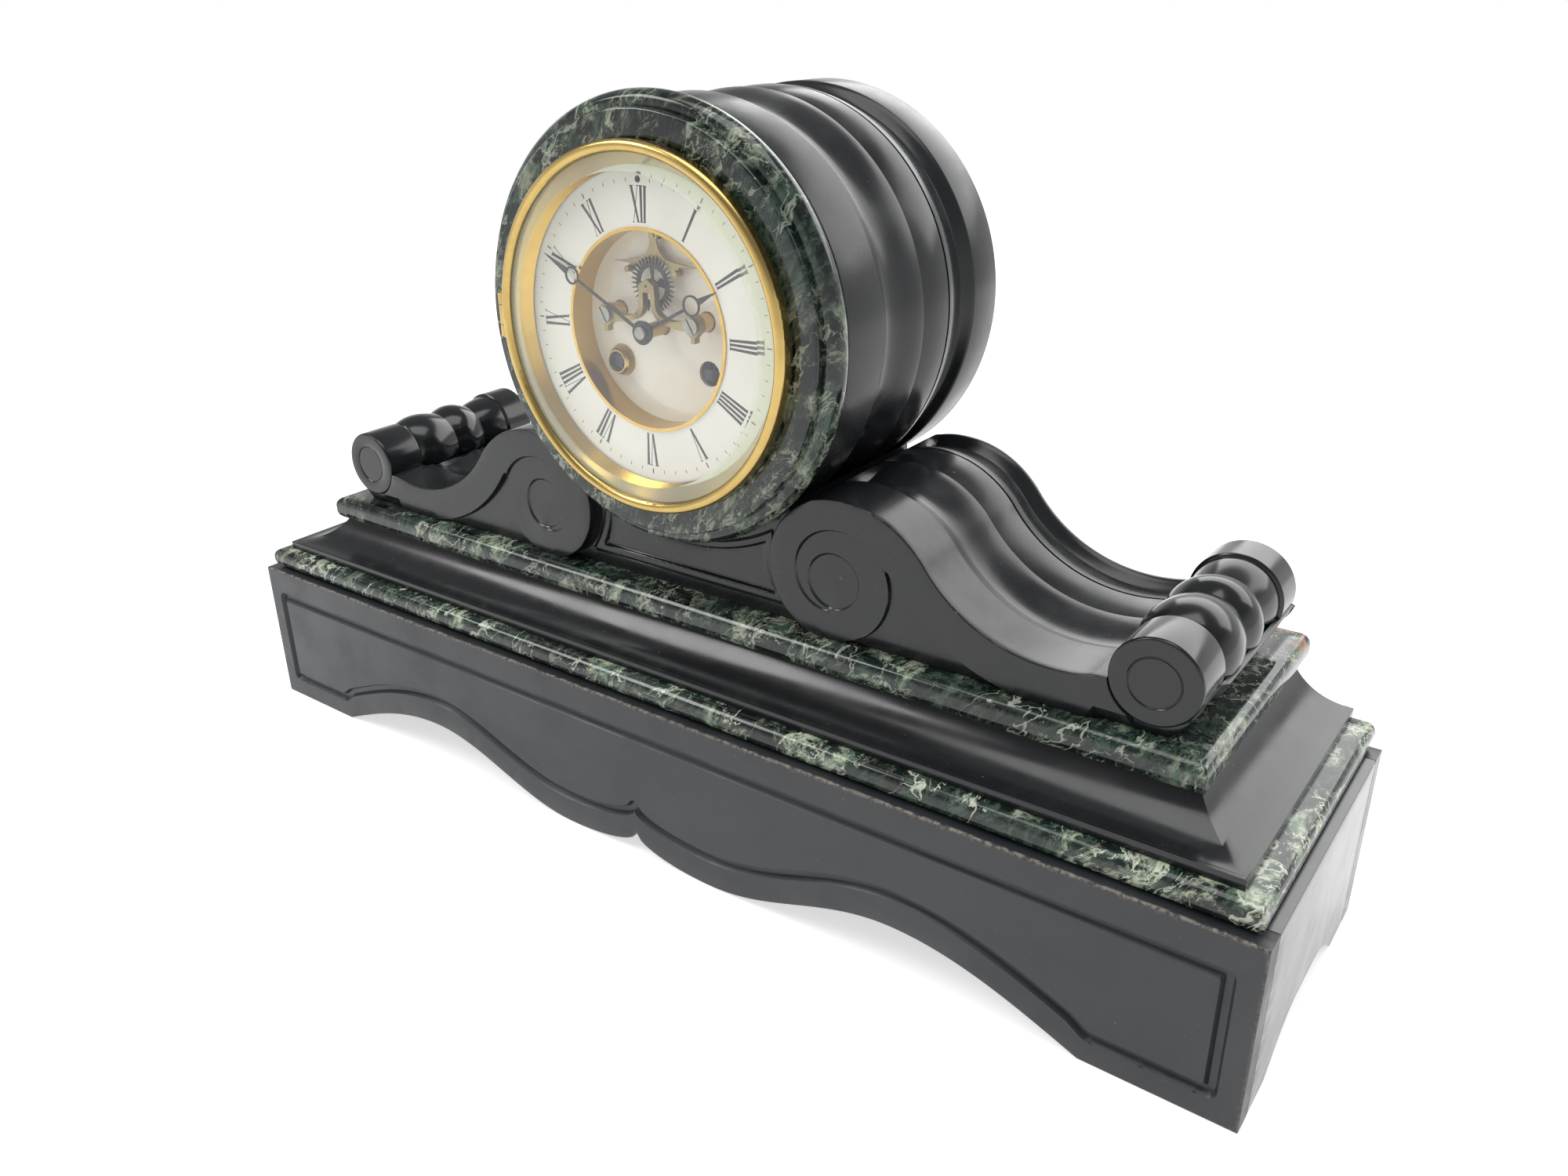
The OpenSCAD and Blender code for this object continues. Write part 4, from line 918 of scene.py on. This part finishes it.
@dataclass
class Steps:
    """The lower marble slab, the hollow slate moulding and the upper marble slab."""

    front: float = -77.0
    back: float = 63.0
    half_width: float = 260.0
    plinth_top: float = 75.0
    lower_top: float = 85.3
    upper_bottom: float = 101.0

    def slab(self, name: str, node: str, half_x: float, front: float, back: float, z0: float, z1: float,
             radius: float, finish: GreenMarble) -> None:
        """Build a marble slab with its front and ends rounded by radius and its back nearly square."""
        low = quarter((-radius, z0 + radius), radius, -90, 0, 9)
        high = quarter((-radius, z1 - radius), radius, 0, 90, 9)
        profile = np.vstack([low, high])
        back_low = quarter((-0.9, z0 + 0.9), 0.9, -90, 0, 9)
        back_high = quarter((-0.9, z1 - 0.9), 0.9, 0, 90, 9)
        back_out = np.concatenate([back_low[:, 0], back_high[:, 0]])
        points, faces = mitred(profile, half_x, front, back, back_out)
        piece = lay(name, points, faces, finish, CASE, [node])
        cut_box(piece, *WELL)

    def moulding(self) -> None:
        """Build the cavetto: a fillet, a hollow of one radius and a vertical back."""
        run, rise, flat, fillet = 21.0, 11.6, 2.0, 4.1
        radius = (run * run + rise * rise) / (2 * rise)
        bottom = self.lower_top + fillet
        angle = np.linspace(-90.0, -90.0 - math.degrees(math.asin(run / radius)), 26)
        hollow = polar(radius, angle, (-flat, bottom + radius))
        corner = np.array([[0.0, self.lower_top], [0.0, bottom], [-flat, bottom], [-8.0, bottom + 3]])
        corner = ease_corners(corner, 0.5, 4)
        keep = corner[(corner[:, 0] > -flat - 0.01)]
        profile = np.vstack([[[-0.3, self.lower_top]], keep[1:], hollow,
                             [[-flat - run, self.upper_bottom]]])
        points, faces = mitred(profile, self.half_width - 12.2, self.front + 10, self.back - 1,
                               np.zeros(len(profile)))
        piece = lay("hollow_moulding", points, faces, SLATE_MOULDING, CASE, ["cavetto_moulding"], sharp=28.0)
        cut_box(piece, *WELL, sharp=28.0)

    def build(self) -> None:
        """Build the three steps."""
        self.slab("lower_marble", "lower_marble_slab", self.half_width - 3.5, self.front + 3.5, self.back,
                  self.plinth_top, self.lower_top, 4.4, LOWER_MARBLE)
        self.moulding()
        self.slab("upper_marble", "upper_marble_slab", self.half_width - 32.2, self.front + 27.4,
                  self.back + 4,
                  self.upper_bottom, BASE_Z, 4.6, UPPER_MARBLE)


# Bands shared by the drum and the consoles

BAND_Y = np.array([-17.0, -16.95, -14.5, -12.0, -9.5, -7.0, -4.0, -1.0, 2.0, 5.0, 8.0, 10.5, 12.2,
                   13.0, 13.05, 15.0, 17.0, 19.0, 21.5, 24.0, 27.0, 30.0, 32.4, 32.5, 33.5, 33.6,
                   36.0, 38.5, 41.0, 43.5, 46.0, 48.5, 49.5, 51.0, 52.5, 53.8, 54.5])


def band_depth(y: np.ndarray) -> np.ndarray:
    """Return how deep the turned bands lie under the outer surface at y, in mm.

    Plain to -17, a 1.2 step into a cove 4 deep at -7, a rise to an arris at 13, an
    undercut 3.5 deep that swells back by 31, a 1 mm groove at 33, a cove 4 deep at
    49.5 and a plain band 0.2 down from 54.5.
    """
    cove = 1.2 + 2.8 * smooth((y + 17) / 10)
    rise = 0.3 + 3.7 * (1 - smooth((y + 7) / 20))
    back = np.clip((y - 13) / 18, 0, 1)
    swell = 3.5 * (1 - np.sin(np.pi / 2 * back)) + 0.3 * back
    late = 0.3 + 3.7 * smooth((y - 33.5) / 16)
    last = 0.2 + 3.8 * (1 - smooth((y - 49.5) / 5))
    pieces = [(y < -16.97), (y < -7), (y < 13.02), (y < 32.45), (y < 33.55), (y < 49.5)]
    return np.select(pieces, [np.zeros_like(y), cove, rise, swell, np.full_like(y, 1.3), late], last)


# Consoles


@dataclass
class Console:
    """A scroll console and the turned roll at its outer end, drawn on the right and mirrored."""

    side: Side
    front: float = -41.1
    back: float = 56.0
    disc: float = 24.4
    boss: float = 11.3
    crest: tuple = (82.0, 127.1)
    crest_r: float = 44.4
    hollow: tuple = (168.0, 189.9)
    hollow_r: float = 62.1
    join: float = 36.14
    roll: tuple = (204.4, 133.0)
    roll_r: float = 16.2
    field_depth: float = 2.8

    def loop(self) -> tuple[np.ndarray, np.ndarray, np.ndarray]:
        """Trace the outline anticlockwise from the base's right end.

        Returns:
            The points, how fully the bands are cut at each (0 to 1), and which lie on the roll's seat.
        """
        foot = np.array([[210.3, BASE_Z], [213.6, 116.0], [216.4, 119.6], [219.0, 125.0], [220.1, 128.9]])
        seat = polar(self.roll_r + 0.15, np.linspace(-16, -170, 22), self.roll)
        dip = polar(self.hollow_r, np.linspace(285.6, 180 + self.join, 46), self.hollow)
        crest_angle = np.linspace(self.join, 108, 44)[1:]
        top = polar(self.crest_r, crest_angle, self.crest)
        angle = np.linspace(118, 252, 46)
        swirl = polar(33.9 - WINDING * (angle - 90), angle, VOLUTE)
        base = np.stack([np.linspace(76, 206, 34), np.full(34, BASE_Z)], axis=1)
        swirl[:, 1] = np.maximum(swirl[:, 1], BASE_Z)
        parts = [refine(foot, 2.5, False), seat, dip, top, swirl, base]
        path = np.vstack(parts)
        before, after = len(parts[0]), len(swirl) + len(base)
        cut = np.concatenate([np.zeros(before + len(seat)), np.ones(len(dip)),
                              smooth((108 - crest_angle) / 4), np.zeros(after)])
        seated = np.zeros(len(path))
        seated[before:before + len(seat)] = 1.0
        return path, cut, seated

    def carve(self, points: np.ndarray) -> np.ndarray:
        """Return the depth of the carved front at points.

        Round the volute's centre at radius p and angle t: from 263 degrees the turn
        sinks slowly to 1.4 at 380, runs on inside the spiral line at radius
        25 - 0.052 (t - 20), and the boss is sunk 0.7 more. Beyond the disc, under
        the band, the field is sunk by field_depth.
        """
        gap = points - np.array(VOLUTE)
        p = np.linalg.norm(gap, axis=1)
        t = np.degrees(np.arctan2(gap[:, 1], gap[:, 0])) % 360
        turn = np.where(t < 20, t + 360, t)
        spiral = 25.0 - 0.052 * (turn - 20)
        under = smooth((spiral - p) / 0.9 + 0.5)
        inner = 1.4 * under * (1 - 0.5 * smooth((turn - 20) / 243))
        ramp = (0.0 + 1.4 * smooth((turn - 268) / 108)) * (p < self.disc + 0.6)
        sunk = np.where(turn < 263, inner, np.maximum(ramp, 0.7 * smooth((280 - turn) / 17) * (p < 12.4)))
        sunk = sunk + 0.75 * smooth((self.boss - p) / 1.0 + 0.5)
        reach = np.linalg.norm(points - np.array(self.hollow), axis=1)
        region = np.minimum(p - self.disc, reach - 78.0)
        below = (points[:, 0] > 84) * smooth((148 - points[:, 1]) / 2.0)
        ground = self.field_depth * smooth(region / 0.8 + 0.5) * below
        return np.maximum(sunk * (p < self.disc + 0.6), ground)

    def rows(self) -> list[np.ndarray]:
        """Return mesh points along the spiral, the boss, the disc's edge and the band's lower edge."""
        near = [-0.75, -0.45, -0.2, 0.0, 0.2, 0.45, 0.75]
        angle = np.linspace(20, 263, 120)
        spiral = polar(25.0 - 0.052 * (angle - 20), angle, VOLUTE)
        boss = polar(self.boss, np.linspace(0, 360, 70, endpoint=False), VOLUTE)
        edge = polar(self.disc, np.linspace(-76, 24, 60), VOLUTE)
        band = polar(78.0, np.linspace(209, 262, 90), self.hollow)
        slope = np.vstack([polar(r, np.linspace(-97, 20, 26), VOLUTE) for r in (14.0, 17.0, 20.0, 22.5)])
        ribs = [ribs_along(path, near, closed) for path, closed in
                ((spiral, False), (boss, True), (edge, False), (band, False))]
        return ribs + [slope]

    def place(self, points: np.ndarray) -> np.ndarray:
        """Return points on the piece's own side of the clock."""
        return points * np.array([self.side.value, 1.0, 1.0])

    def build_scroll(self) -> None:
        """Build the scroll with its banded top and carved front."""
        path, cut, seated = self.loop()

        def moulding(outline: np.ndarray, y: np.ndarray) -> np.ndarray:
            """Return the bands' depth, and a wider seat for the roll's bulbs."""
            return cut * band_depth(y) + seated * 1.9 * smooth((y + 20.6) / 0.5)

        depths = np.concatenate([np.linspace(-38, -21, 6), [-20.5, -20.1], BAND_Y])
        plate = Plate(path, self.front, self.back, 0.6, depths, moulding, relief=self.carve,
                      rows=self.rows(), filler=4.5)
        points, faces = plate.build()
        name = self.side.name.lower()
        lay(f"scroll_{name}_carved", self.place(points), faces, SLATE_WORN, CASE, [f"scroll_{name}"],
            sharp=30.0)

    def build_roll(self) -> None:
        """Build the turned roll: a drum end, two bulbs, a swelling neck and the rear drum end."""
        first = np.linspace(0, 1, 22)
        swell_1 = np.stack([13.9 + 3.9 * np.sin(np.pi * (0.04 + 0.84 * first ** 0.8)),
                            -19.4 + 24.2 * first], axis=1)
        swell_2 = np.stack([14.2 + 3.3 * np.sin(np.pi * (0.08 + 0.84 * first)), 5.2 + 18.4 * first], axis=1)
        beads = np.linspace(0, 1, 20)
        neck = np.stack([13.6 + 2.6 * np.sin(np.pi / 2 * beads), 24.4 + 15.2 * beads], axis=1)
        groove = np.array([[8.8, self.front + 0.25], [9.0, self.front + 0.5], [9.25, self.front + 0.5],
                           [9.5, self.front + 0.1], [9.7, self.front]])
        front = np.array([[15.0, self.front], [15.9, self.front + 0.3], [self.roll_r, self.front + 1.2],
                          [self.roll_r, -20.6], [15.2, -19.9], [13.9, -19.6]])
        front = ease_corners(front, 0.3, 3)
        rear = np.array([[16.2, 39.8], [17.1, 40.1], [17.5, 40.6], [17.5, 55.5], [17.0, self.back]])
        ring = np.vstack([[[0.02, self.front + 0.25]], groove, front[2:-1], swell_1, [[13.4, 5.0]], swell_2,
                          [[13.4, 24.1]], neck, rear, [[0.02, self.back]]])
        points, faces = turned(ring, self.roll, 144)
        name = self.side.name.lower()
        lay(f"roll_{name}_turned", self.place(points), faces, SLATE_POLISHED, CASE, [f"roll_{name}"],
            sharp=38.0)

    def build(self) -> None:
        """Build the scroll and its roll."""
        self.build_scroll()
        self.build_roll()


# Drum


@dataclass
class Drum:
    """The slate drum in two sections, its marble ring and the cradle that carries it."""

    radius: float = 84.5
    front: float = -40.0
    split: float = 33.0
    back: float = 73.0
    bore: float = 66.0
    rear_bore: float = 62.0
    panel_front: float = -35.0

    def section(self, name: str, node: str, y0: float, y1: float, bore: float) -> bpy.types.Object:
        """Turn one section of the drum between depths y0 and y1."""
        y = BAND_Y[(BAND_Y > y0 + 0.05) & (BAND_Y < y1 - 0.05)]
        skin = np.stack([self.radius - band_depth(y), y], axis=1)
        ends = self.radius - band_depth(np.array([y0 + 0.06, y1 - 0.06]))
        head = quarter((ends[0] - 0.5, y0 + 0.5), 0.5, -90, 0, 4)
        tail = quarter((ends[1] - 0.5, y1 - 0.5), 0.5, 0, 90, 4)
        profile = np.vstack([[[bore, y0]], head, skin, tail, [[bore, y1]]])
        points, faces = turned(profile, steps=320)
        return lay(name, points, faces, SLATE_TURNED, CASE, [node], sharp=26.0)

    def marble_ring(self) -> None:
        """Turn the marble ring: a rounded edge, a quirk and a flat raised face."""
        edge = quarter((81.2, -46.0), 5.8, 84, -58, 22)
        face = quarter((79.9, -53.8), 1.2, 0, -90, 7)
        profile = np.vstack([[[self.bore, self.front], [81.5, self.front]], edge,
                             [[82.2, -51.3], [81.3, -51.2]], face,
                             quarter((66.6, -54.4), 0.6, -90, -180, 4)])
        points, faces = turned(profile, steps=320)
        lay("marble_ring_turned", points, faces, RING_MARBLE, CASE, ["drum_marble_ring"], sharp=40.0)

    def cradle_outline(self) -> np.ndarray:
        """Return the cradle's outline: the base, each volute's back and the arc under the drum."""
        angle = np.linspace(250, 139, 30)
        right = polar(33.5 - WINDING * (angle - 90), angle, VOLUTE)
        right[:, 1] = np.maximum(right[:, 1], BASE_Z)
        meet = math.degrees(math.atan2(right[-1, 1] - AXIS_Z, right[-1, 0]))
        arc = polar(self.radius - 0.2, np.linspace(meet + 2.0, -180 - meet - 2.0, 60), (0.0, AXIS_Z))
        left = right[::-1] * np.array([-1.0, 1.0])
        base = np.stack([np.linspace(left[-1, 0] + 5, right[0, 0] - 5, 30), np.full(30, BASE_Z)], axis=1)
        return np.vstack([right, arc, left, base])

    def panel_loop(self, inset: float) -> np.ndarray:
        """Return the cradle panel's frame line: straight below, curved beside the volutes and the drum."""
        angle = np.linspace(222, 150, 16)
        right = polar(36.9 + inset - WINDING * (angle - 90), angle, VOLUTE)
        top = AXIS_Z - math.sqrt((self.radius + 5.6 + inset) ** 2 - 40.0 ** 2)
        right = right[(right[:, 1] > 119.2 + inset) & (right[:, 1] < top)]
        reach = self.radius + 5.6 + inset
        end = math.degrees(math.asin(right[-1, 0] / reach))
        arc = polar(reach, np.linspace(-90 + end, -90 - end, 40), (0.0, AXIS_Z))
        foot = np.array([[right[0, 0] + 0.4, 119.2 + inset]])
        return np.vstack([foot, right, arc, right[::-1] * [-1.0, 1.0], foot * [-1.0, 1.0]])

    def cradle(self) -> None:
        """Build the cradle with its two frame lines and the sunk field inside them."""
        outer = refine(self.panel_loop(0.0), 2.0)
        inner = refine(self.panel_loop(3.4), 2.0)
        lines = [Line(outer, 1.3, 0.9, 0.6, True, 1.0)]

        def sunk(points: np.ndarray) -> np.ndarray:
            """Return the field's depth, 1.6 inside the inner line."""
            gap = distance_to(points, inner) * np.where(inside(points, inner), 1.0, -1.0)
            return 1.6 * smooth(gap / 1.2 + 0.5)

        rows = [ribs_along(inner, [-0.7, -0.35, 0.0, 0.35, 0.7], True)]
        plate = Plate(self.cradle_outline(), self.panel_front, 55.9, 0.4, lines=lines, relief=sunk,
                      rows=rows, filler=4.0)
        points, faces = plate.build()
        piece = lay("drum_cradle_panelled", points, faces, SLATE_WORN, CASE, ["drum_cradle"])
        cut_box(piece, *WELL)

    def build(self) -> None:
        """Build the sections, the ring and the cradle."""
        piece = self.section("drum_front_turned", "drum_front_section", self.front, self.split, self.bore)
        cut_box(piece, *WELL, sharp=26.0)
        self.section("drum_rear_turned", "drum_rear_section", self.split, self.back, self.rear_bore)
        self.marble_ring()
        self.cradle()


# Dial


@dataclass
class Dial:
    """The enamel dial: figures and minute marks fired on the chapter ring, a sunk ivory centre."""

    face: float = -51.0
    inner: float = 40.7
    outer: float = 54.0
    bold: float = 1.05
    hair: float = 0.26
    serif: float = 0.3
    paint: float = 0.05
    minute_in: float = 55.3
    minute_out: float = 56.7

    def strokes(self, text: str) -> np.ndarray:
        """Return the strokes of a Roman figure, a row for each.

        A row holds u low and u high at the foot, the same at the head, and r0, r1. u runs
        along the ring and r outwards; a figure's middle lies at u = 0.
        """
        bold, hair, r0, r1 = self.bold, self.hair, self.inner, self.outer
        line = self.serif
        widths = {"I": 1.75, "V": 3.9, "X": 4.1}
        rows = []
        at = -sum(widths[letter] for letter in text) / 2
        for letter in text:
            wide = widths[letter]
            left, right = at + 0.35, at + wide - 0.35
            if letter == "I":
                rows.append((left, left + bold, left, left + bold, r0, r1))
                rows += [(at + 0.1, at + wide - 0.1, at + 0.1, at + wide - 0.1, r, r + line)
                         for r in (r0, r1 - line)]
            if letter == "V":
                tip = at + wide * 0.5
                rows.append((tip - bold / 2, tip + bold / 2, left, left + bold, r0, r1))
                rows.append((tip, tip + hair, right - hair, right, r0, r1))
                rows.append((at + 0.05, at + 1.75, at + 0.05, at + 1.75, r1 - line, r1))
                rows.append((at + wide - 1.0, at + wide, at + wide - 1.0, at + wide, r1 - line, r1))
            if letter == "X":
                rows.append((right - bold, right, left, left + bold, r0, r1))
                rows.append((left, left + hair, right - hair, right, r0, r1))
                rows += [(at + 0.05, at + 1.7, at + 0.05, at + 1.7, r1 - line, r1),
                         (at + wide - 1.0, at + wide, at + wide - 1.0, at + wide, r1 - line, r1),
                         (at + wide - 1.7, at + wide - 0.05, at + wide - 1.7, at + wide - 0.05, r0,
                          r0 + line),
                         (at, at + 1.0, at, at + 1.0, r0, r0 + line)]
            at += wide
        return np.array(rows)

    def prisms(self, rows: np.ndarray, clockwise: np.ndarray) -> tuple[np.ndarray, np.ndarray]:
        """Turn strokes into thin prisms round the dial.

        A corner (u, r) at clockwise degrees c from twelve lies at the angle
        90 - c - degrees(u / R), with R the radius halfway up the figures.
        """
        middle = (self.inner + self.outer) / 2
        u = rows[:, [0, 1, 3, 2]]
        r = rows[:, [4, 4, 5, 5]]
        flat = polar(r, 90.0 - clockwise[:, None] - np.degrees(u / middle), (0.0, AXIS_Z))
        y = np.array([self.face - self.paint, self.face + 0.03])
        sheets = [np.stack([flat[..., 0], np.full(u.shape, depth), flat[..., 1]], axis=-1) for depth in y]
        block = np.stack(sheets, axis=1)
        cube = np.array([[0, 1, 2, 3], [7, 6, 5, 4], [0, 4, 5, 1],
                         [1, 5, 6, 2], [2, 6, 7, 3], [3, 7, 4, 0]])
        faces = (np.arange(len(rows))[:, None, None] * 8 + cube[None]).reshape(-1, 4)
        return block.reshape(-1, 3), faces

    def numerals(self) -> None:
        """Lay down the twelve figures, with four strokes at four."""
        figures = ["I", "II", "III", "IIII", "V", "VI", "VII", "VIII", "IX", "X", "XI", "XII"]
        rows = [self.strokes(text) for text in figures]
        turns = np.concatenate([np.full(len(r), 30.0 * (hour + 1)) for hour, r in enumerate(rows)])
        points, faces = self.prisms(np.vstack(rows), turns)
        lay("hour_figures", points, faces, PAINT, CASE)

    def minutes(self) -> None:
        """Lay down the sixty minute marks, every fifth one longer and bolder."""
        count = np.arange(60)
        fifth = count % 5 == 0
        half = np.where(fifth, 0.22, 0.11)
        out = np.where(fifth, self.minute_out + 0.5, self.minute_out)
        start = np.where(fifth, self.minute_in - 0.2, self.minute_in)
        rows = np.stack([-half, half, -half, half, start, out], axis=1)
        points, faces = self.prisms(rows, count * 6.0)
        lay("minute_marks", points, faces, PAINT, CASE)

    def build(self) -> None:
        """Paint the dial and dress its rings."""
        self.numerals()
        self.minutes()
        Workshop.dress(ENAMEL, "chapter_ring")
        Workshop.dress(CREAM, "dial_centre")
        Workshop.dress(GILT, "dial_ring", "winding_collet")
        Workshop.dress(OLD_GILT, "recess_ring")


@dataclass
class Bezel:
    """The hinged front frame, its bevelled glass and the sloping sight ring."""

    def build(self) -> None:
        """Dress the frame, the ring, the pins and the glass."""
        Workshop.dress(GILT, "bezel", "hinge_pins")
        Workshop.dress(OLD_GILT, "sight_ring")
        Workshop.dress(GLASS, "bezel_glass")


@dataclass
class Hands:
    """Moon hands of blued steel held by a small domed nut."""

    def build(self) -> None:
        """Dress the hands and their nut."""
        Workshop.dress(BLUED, "minute_hand", "hour_hand")
        Workshop.dress(STEEL, "hand_nut")


@dataclass
class Movement:
    """The going and strike trains between their plates, the pendulum, the bell and the back door."""

    brass: tuple[str, ...] = ("front_plate", "back_plate", "plate_pillars", "third_wheel", "centre_wheel",
                              "intermediate_wheel", "going_barrel", "strike_barrel", "pin_wheel",
                              "warning_wheel", "minute_wheel", "hour_wheel", "suspension_cock", "hammer",
                              "movement_straps")
    visible: tuple[str, ...] = ("bridge_pillars", "pendulum_bob", "rating_nut", "back_ring", "back_door")
    steel: tuple[str, ...] = ("bridge_screws", "strap_screws", "fly", "cannon_pinion", "pendulum_rod")
    # The winding arbors wear this near-black finish partly as painted shade: the going one stands in for the
    # dark depth of its winding hole, while the strike one's dark steel is its own.
    blued: tuple[str, ...] = ("escape_wheel", "regulator_arbor", "going_winding_arbor",
                              "strike_winding_arbor")

    def build(self) -> None:
        """Dress the train, the escapement, the pendulum and the bell."""
        Workshop.dress(BRASS, *self.brass)
        Workshop.dress(SATIN_BRASS, *self.visible)
        Workshop.dress(DULL_BRASS, "escape_bridge", "anchor")
        Workshop.dress(STEEL, *self.steel)
        # Includes the winding arbors, darkened partly as painted shade of their winding holes.
        Workshop.dress(BLUED, *self.blued)
        Workshop.dress(BELL_METAL, "bell")


# Studio


@dataclass
class Studio:
    """A plain pale floor, soft light from above and a camera at the photograph's viewing angle."""

    eye: tuple[float, float, float] = (0.31848, -0.40740, 0.33472)
    right: tuple[float, float, float] = (0.78804257, 0.61484909, -0.03081413)
    up: tuple[float, float, float] = (-0.22970536, 0.34011107, 0.91189907)
    away: tuple[float, float, float] = (0.57116054, -0.71153711, 0.40925613)
    focal: float = 28.656
    shift: tuple[float, float] = (0.0397, -0.0035)
    ambient: float = 0.5
    ceiling: float = 0.3
    floor_size: float = 6.0

    def camera(self) -> None:
        """Set the camera up from its axes and its place."""
        lens = bpy.data.cameras.new("eye")
        lens.lens = self.focal
        lens.sensor_width = 36.0
        lens.shift_x, lens.shift_y = self.shift
        lens.clip_start, lens.clip_end = 0.01, 50.0
        stand = bpy.data.objects.new("eye", lens)
        axes = Matrix((self.right, self.up, self.away)).transposed().to_4x4()
        stand.matrix_world = Matrix.Translation(Vector(self.eye)) @ axes
        bpy.context.scene.collection.objects.link(stand)
        bpy.context.scene.camera = stand

    def seen(self, tree: bpy.types.NodeTree) -> object:
        """Return a socket that is 1 for rays from the camera, from gloss and through glass."""
        path = tree.nodes.new("ShaderNodeLightPath")
        total = path.outputs["Is Camera Ray"]
        for name in ("Is Glossy Ray", "Is Transmission Ray"):
            node = tree.nodes.new("ShaderNodeMath")
            node.operation = "MAXIMUM"
            tree.links.new(total, node.inputs[0])
            tree.links.new(path.outputs[name], node.inputs[1])
            total = node.outputs[0]
        return total

    def world(self) -> None:
        """Make the surround: as a light dim, to the eye and to gloss white under a grey ceiling."""
        world = bpy.data.worlds.new("surround")
        world.use_nodes = True
        tree = world.node_tree
        tree.nodes.clear()
        output = tree.nodes.new("ShaderNodeOutputWorld")
        light = tree.nodes.new("ShaderNodeBackground")
        light.inputs[0].default_value = (1, 1, 1, 1)
        light.inputs[1].default_value = self.ambient
        plain = tree.nodes.new("ShaderNodeBackground")
        plain.inputs[0].default_value = (1, 1, 1, 1)
        way = tree.nodes.new("ShaderNodeTexCoord")
        height = tree.nodes.new("ShaderNodeSeparateXYZ")
        tree.links.new(way.outputs["Generated"], height.inputs[0])
        ceiling = tree.nodes.new("ShaderNodeMapRange")
        ceiling.interpolation_type = "SMOOTHSTEP"
        tree.links.new(height.outputs[2], ceiling.inputs["Value"])
        ends = {"From Min": 0.1, "From Max": 0.5, "To Min": 1.0, "To Max": self.ceiling}
        for key, number in ends.items():
            ceiling.inputs[key].default_value = number
        tree.links.new(ceiling.outputs[0], plain.inputs[1])
        blend = tree.nodes.new("ShaderNodeMixShader")
        tree.links.new(self.seen(tree), blend.inputs[0])
        tree.links.new(light.outputs[0], blend.inputs[1])
        tree.links.new(plain.outputs[0], blend.inputs[2])
        tree.links.new(blend.outputs[0], output.inputs[0])
        bpy.context.scene.world = world

    def floor(self) -> None:
        """Lay the floor: pale, matt, and lifted to white where it is seen, keeping a soft shadow."""
        size = self.floor_size
        mesh = bpy.data.meshes.new("floor")
        corners = [(-size, -size, 0), (size, -size, 0), (size, size, 0), (-size, size, 0)]
        mesh.from_pydata(corners, [], [(0, 1, 2, 3)])
        sheet = bpy.data.objects.new("floor", mesh)
        bpy.context.scene.collection.objects.link(sheet)
        mix = Recipe("pale_floor")
        grain = mix.range(mix.noise(60.0, 3.0), 0.3, 0.7, 0.74, 0.76)
        mix.set(Base_Color=mix.mix(grain, (0.74, 0.74, 0.74, 1), (0.77, 0.77, 0.77, 1)), Roughness=0.9,
                Specular_IOR_Level=0.0)
        glow = mix.math("MULTIPLY", self.seen(mix.tree), 0.62)
        mix.set(Emission_Color=(1, 1, 1, 1), Emission_Strength=glow)
        mesh.materials.append(mix.material)

    def lamp(self, name: str, place: Sequence[float], target: Sequence[float], size: Sequence[float],
             watts: float) -> None:
        """Hang a rectangular softbox at place, turned to target."""
        light = bpy.data.lights.new(name, "AREA")
        light.shape = "RECTANGLE"
        light.size, light.size_y = size
        light.energy = watts
        stand = bpy.data.objects.new(name, light)
        stand.visible_camera = False
        toward = Vector(target) - Vector(place)
        turn = toward.to_track_quat("-Z", "Y").to_matrix().to_4x4()
        stand.matrix_world = Matrix.Translation(Vector(place)) @ turn
        bpy.context.scene.collection.objects.link(stand)

    def build(self) -> None:
        """Set the view, the surround, the floor and the lamps."""
        scene = bpy.context.scene
        scene.view_settings.view_transform = "Standard"
        self.camera()
        self.world()
        self.floor()
        self.lamp("overhead", (0.1, -0.1, 1.9), (0.0, 0.0, 0.2), (1.6, 1.0), 15.0)
        self.lamp("left", (-1.15, -0.85, 1.5), (0.0, 0.0, 0.2), (0.9, 0.7), 14.0)
        self.lamp("back", (0.3, 1.7, 1.2), (0.0, 0.0, 0.25), (3.0, 1.0), 30.0)


def main() -> None:
    """Build the clock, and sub-assembly by sub-assembly."""
    logging.basicConfig(level=logging.INFO, format="%(message)s")
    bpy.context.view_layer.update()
    makers = [Plinth(), Steps(), Console(Side.LEFT), Console(Side.RIGHT), Drum(), Dial(), Bezel(),
              Hands(), Movement()]
    for maker in makers:
        maker.build()
    Studio().build()


if __name__ == "__main__":
    main()
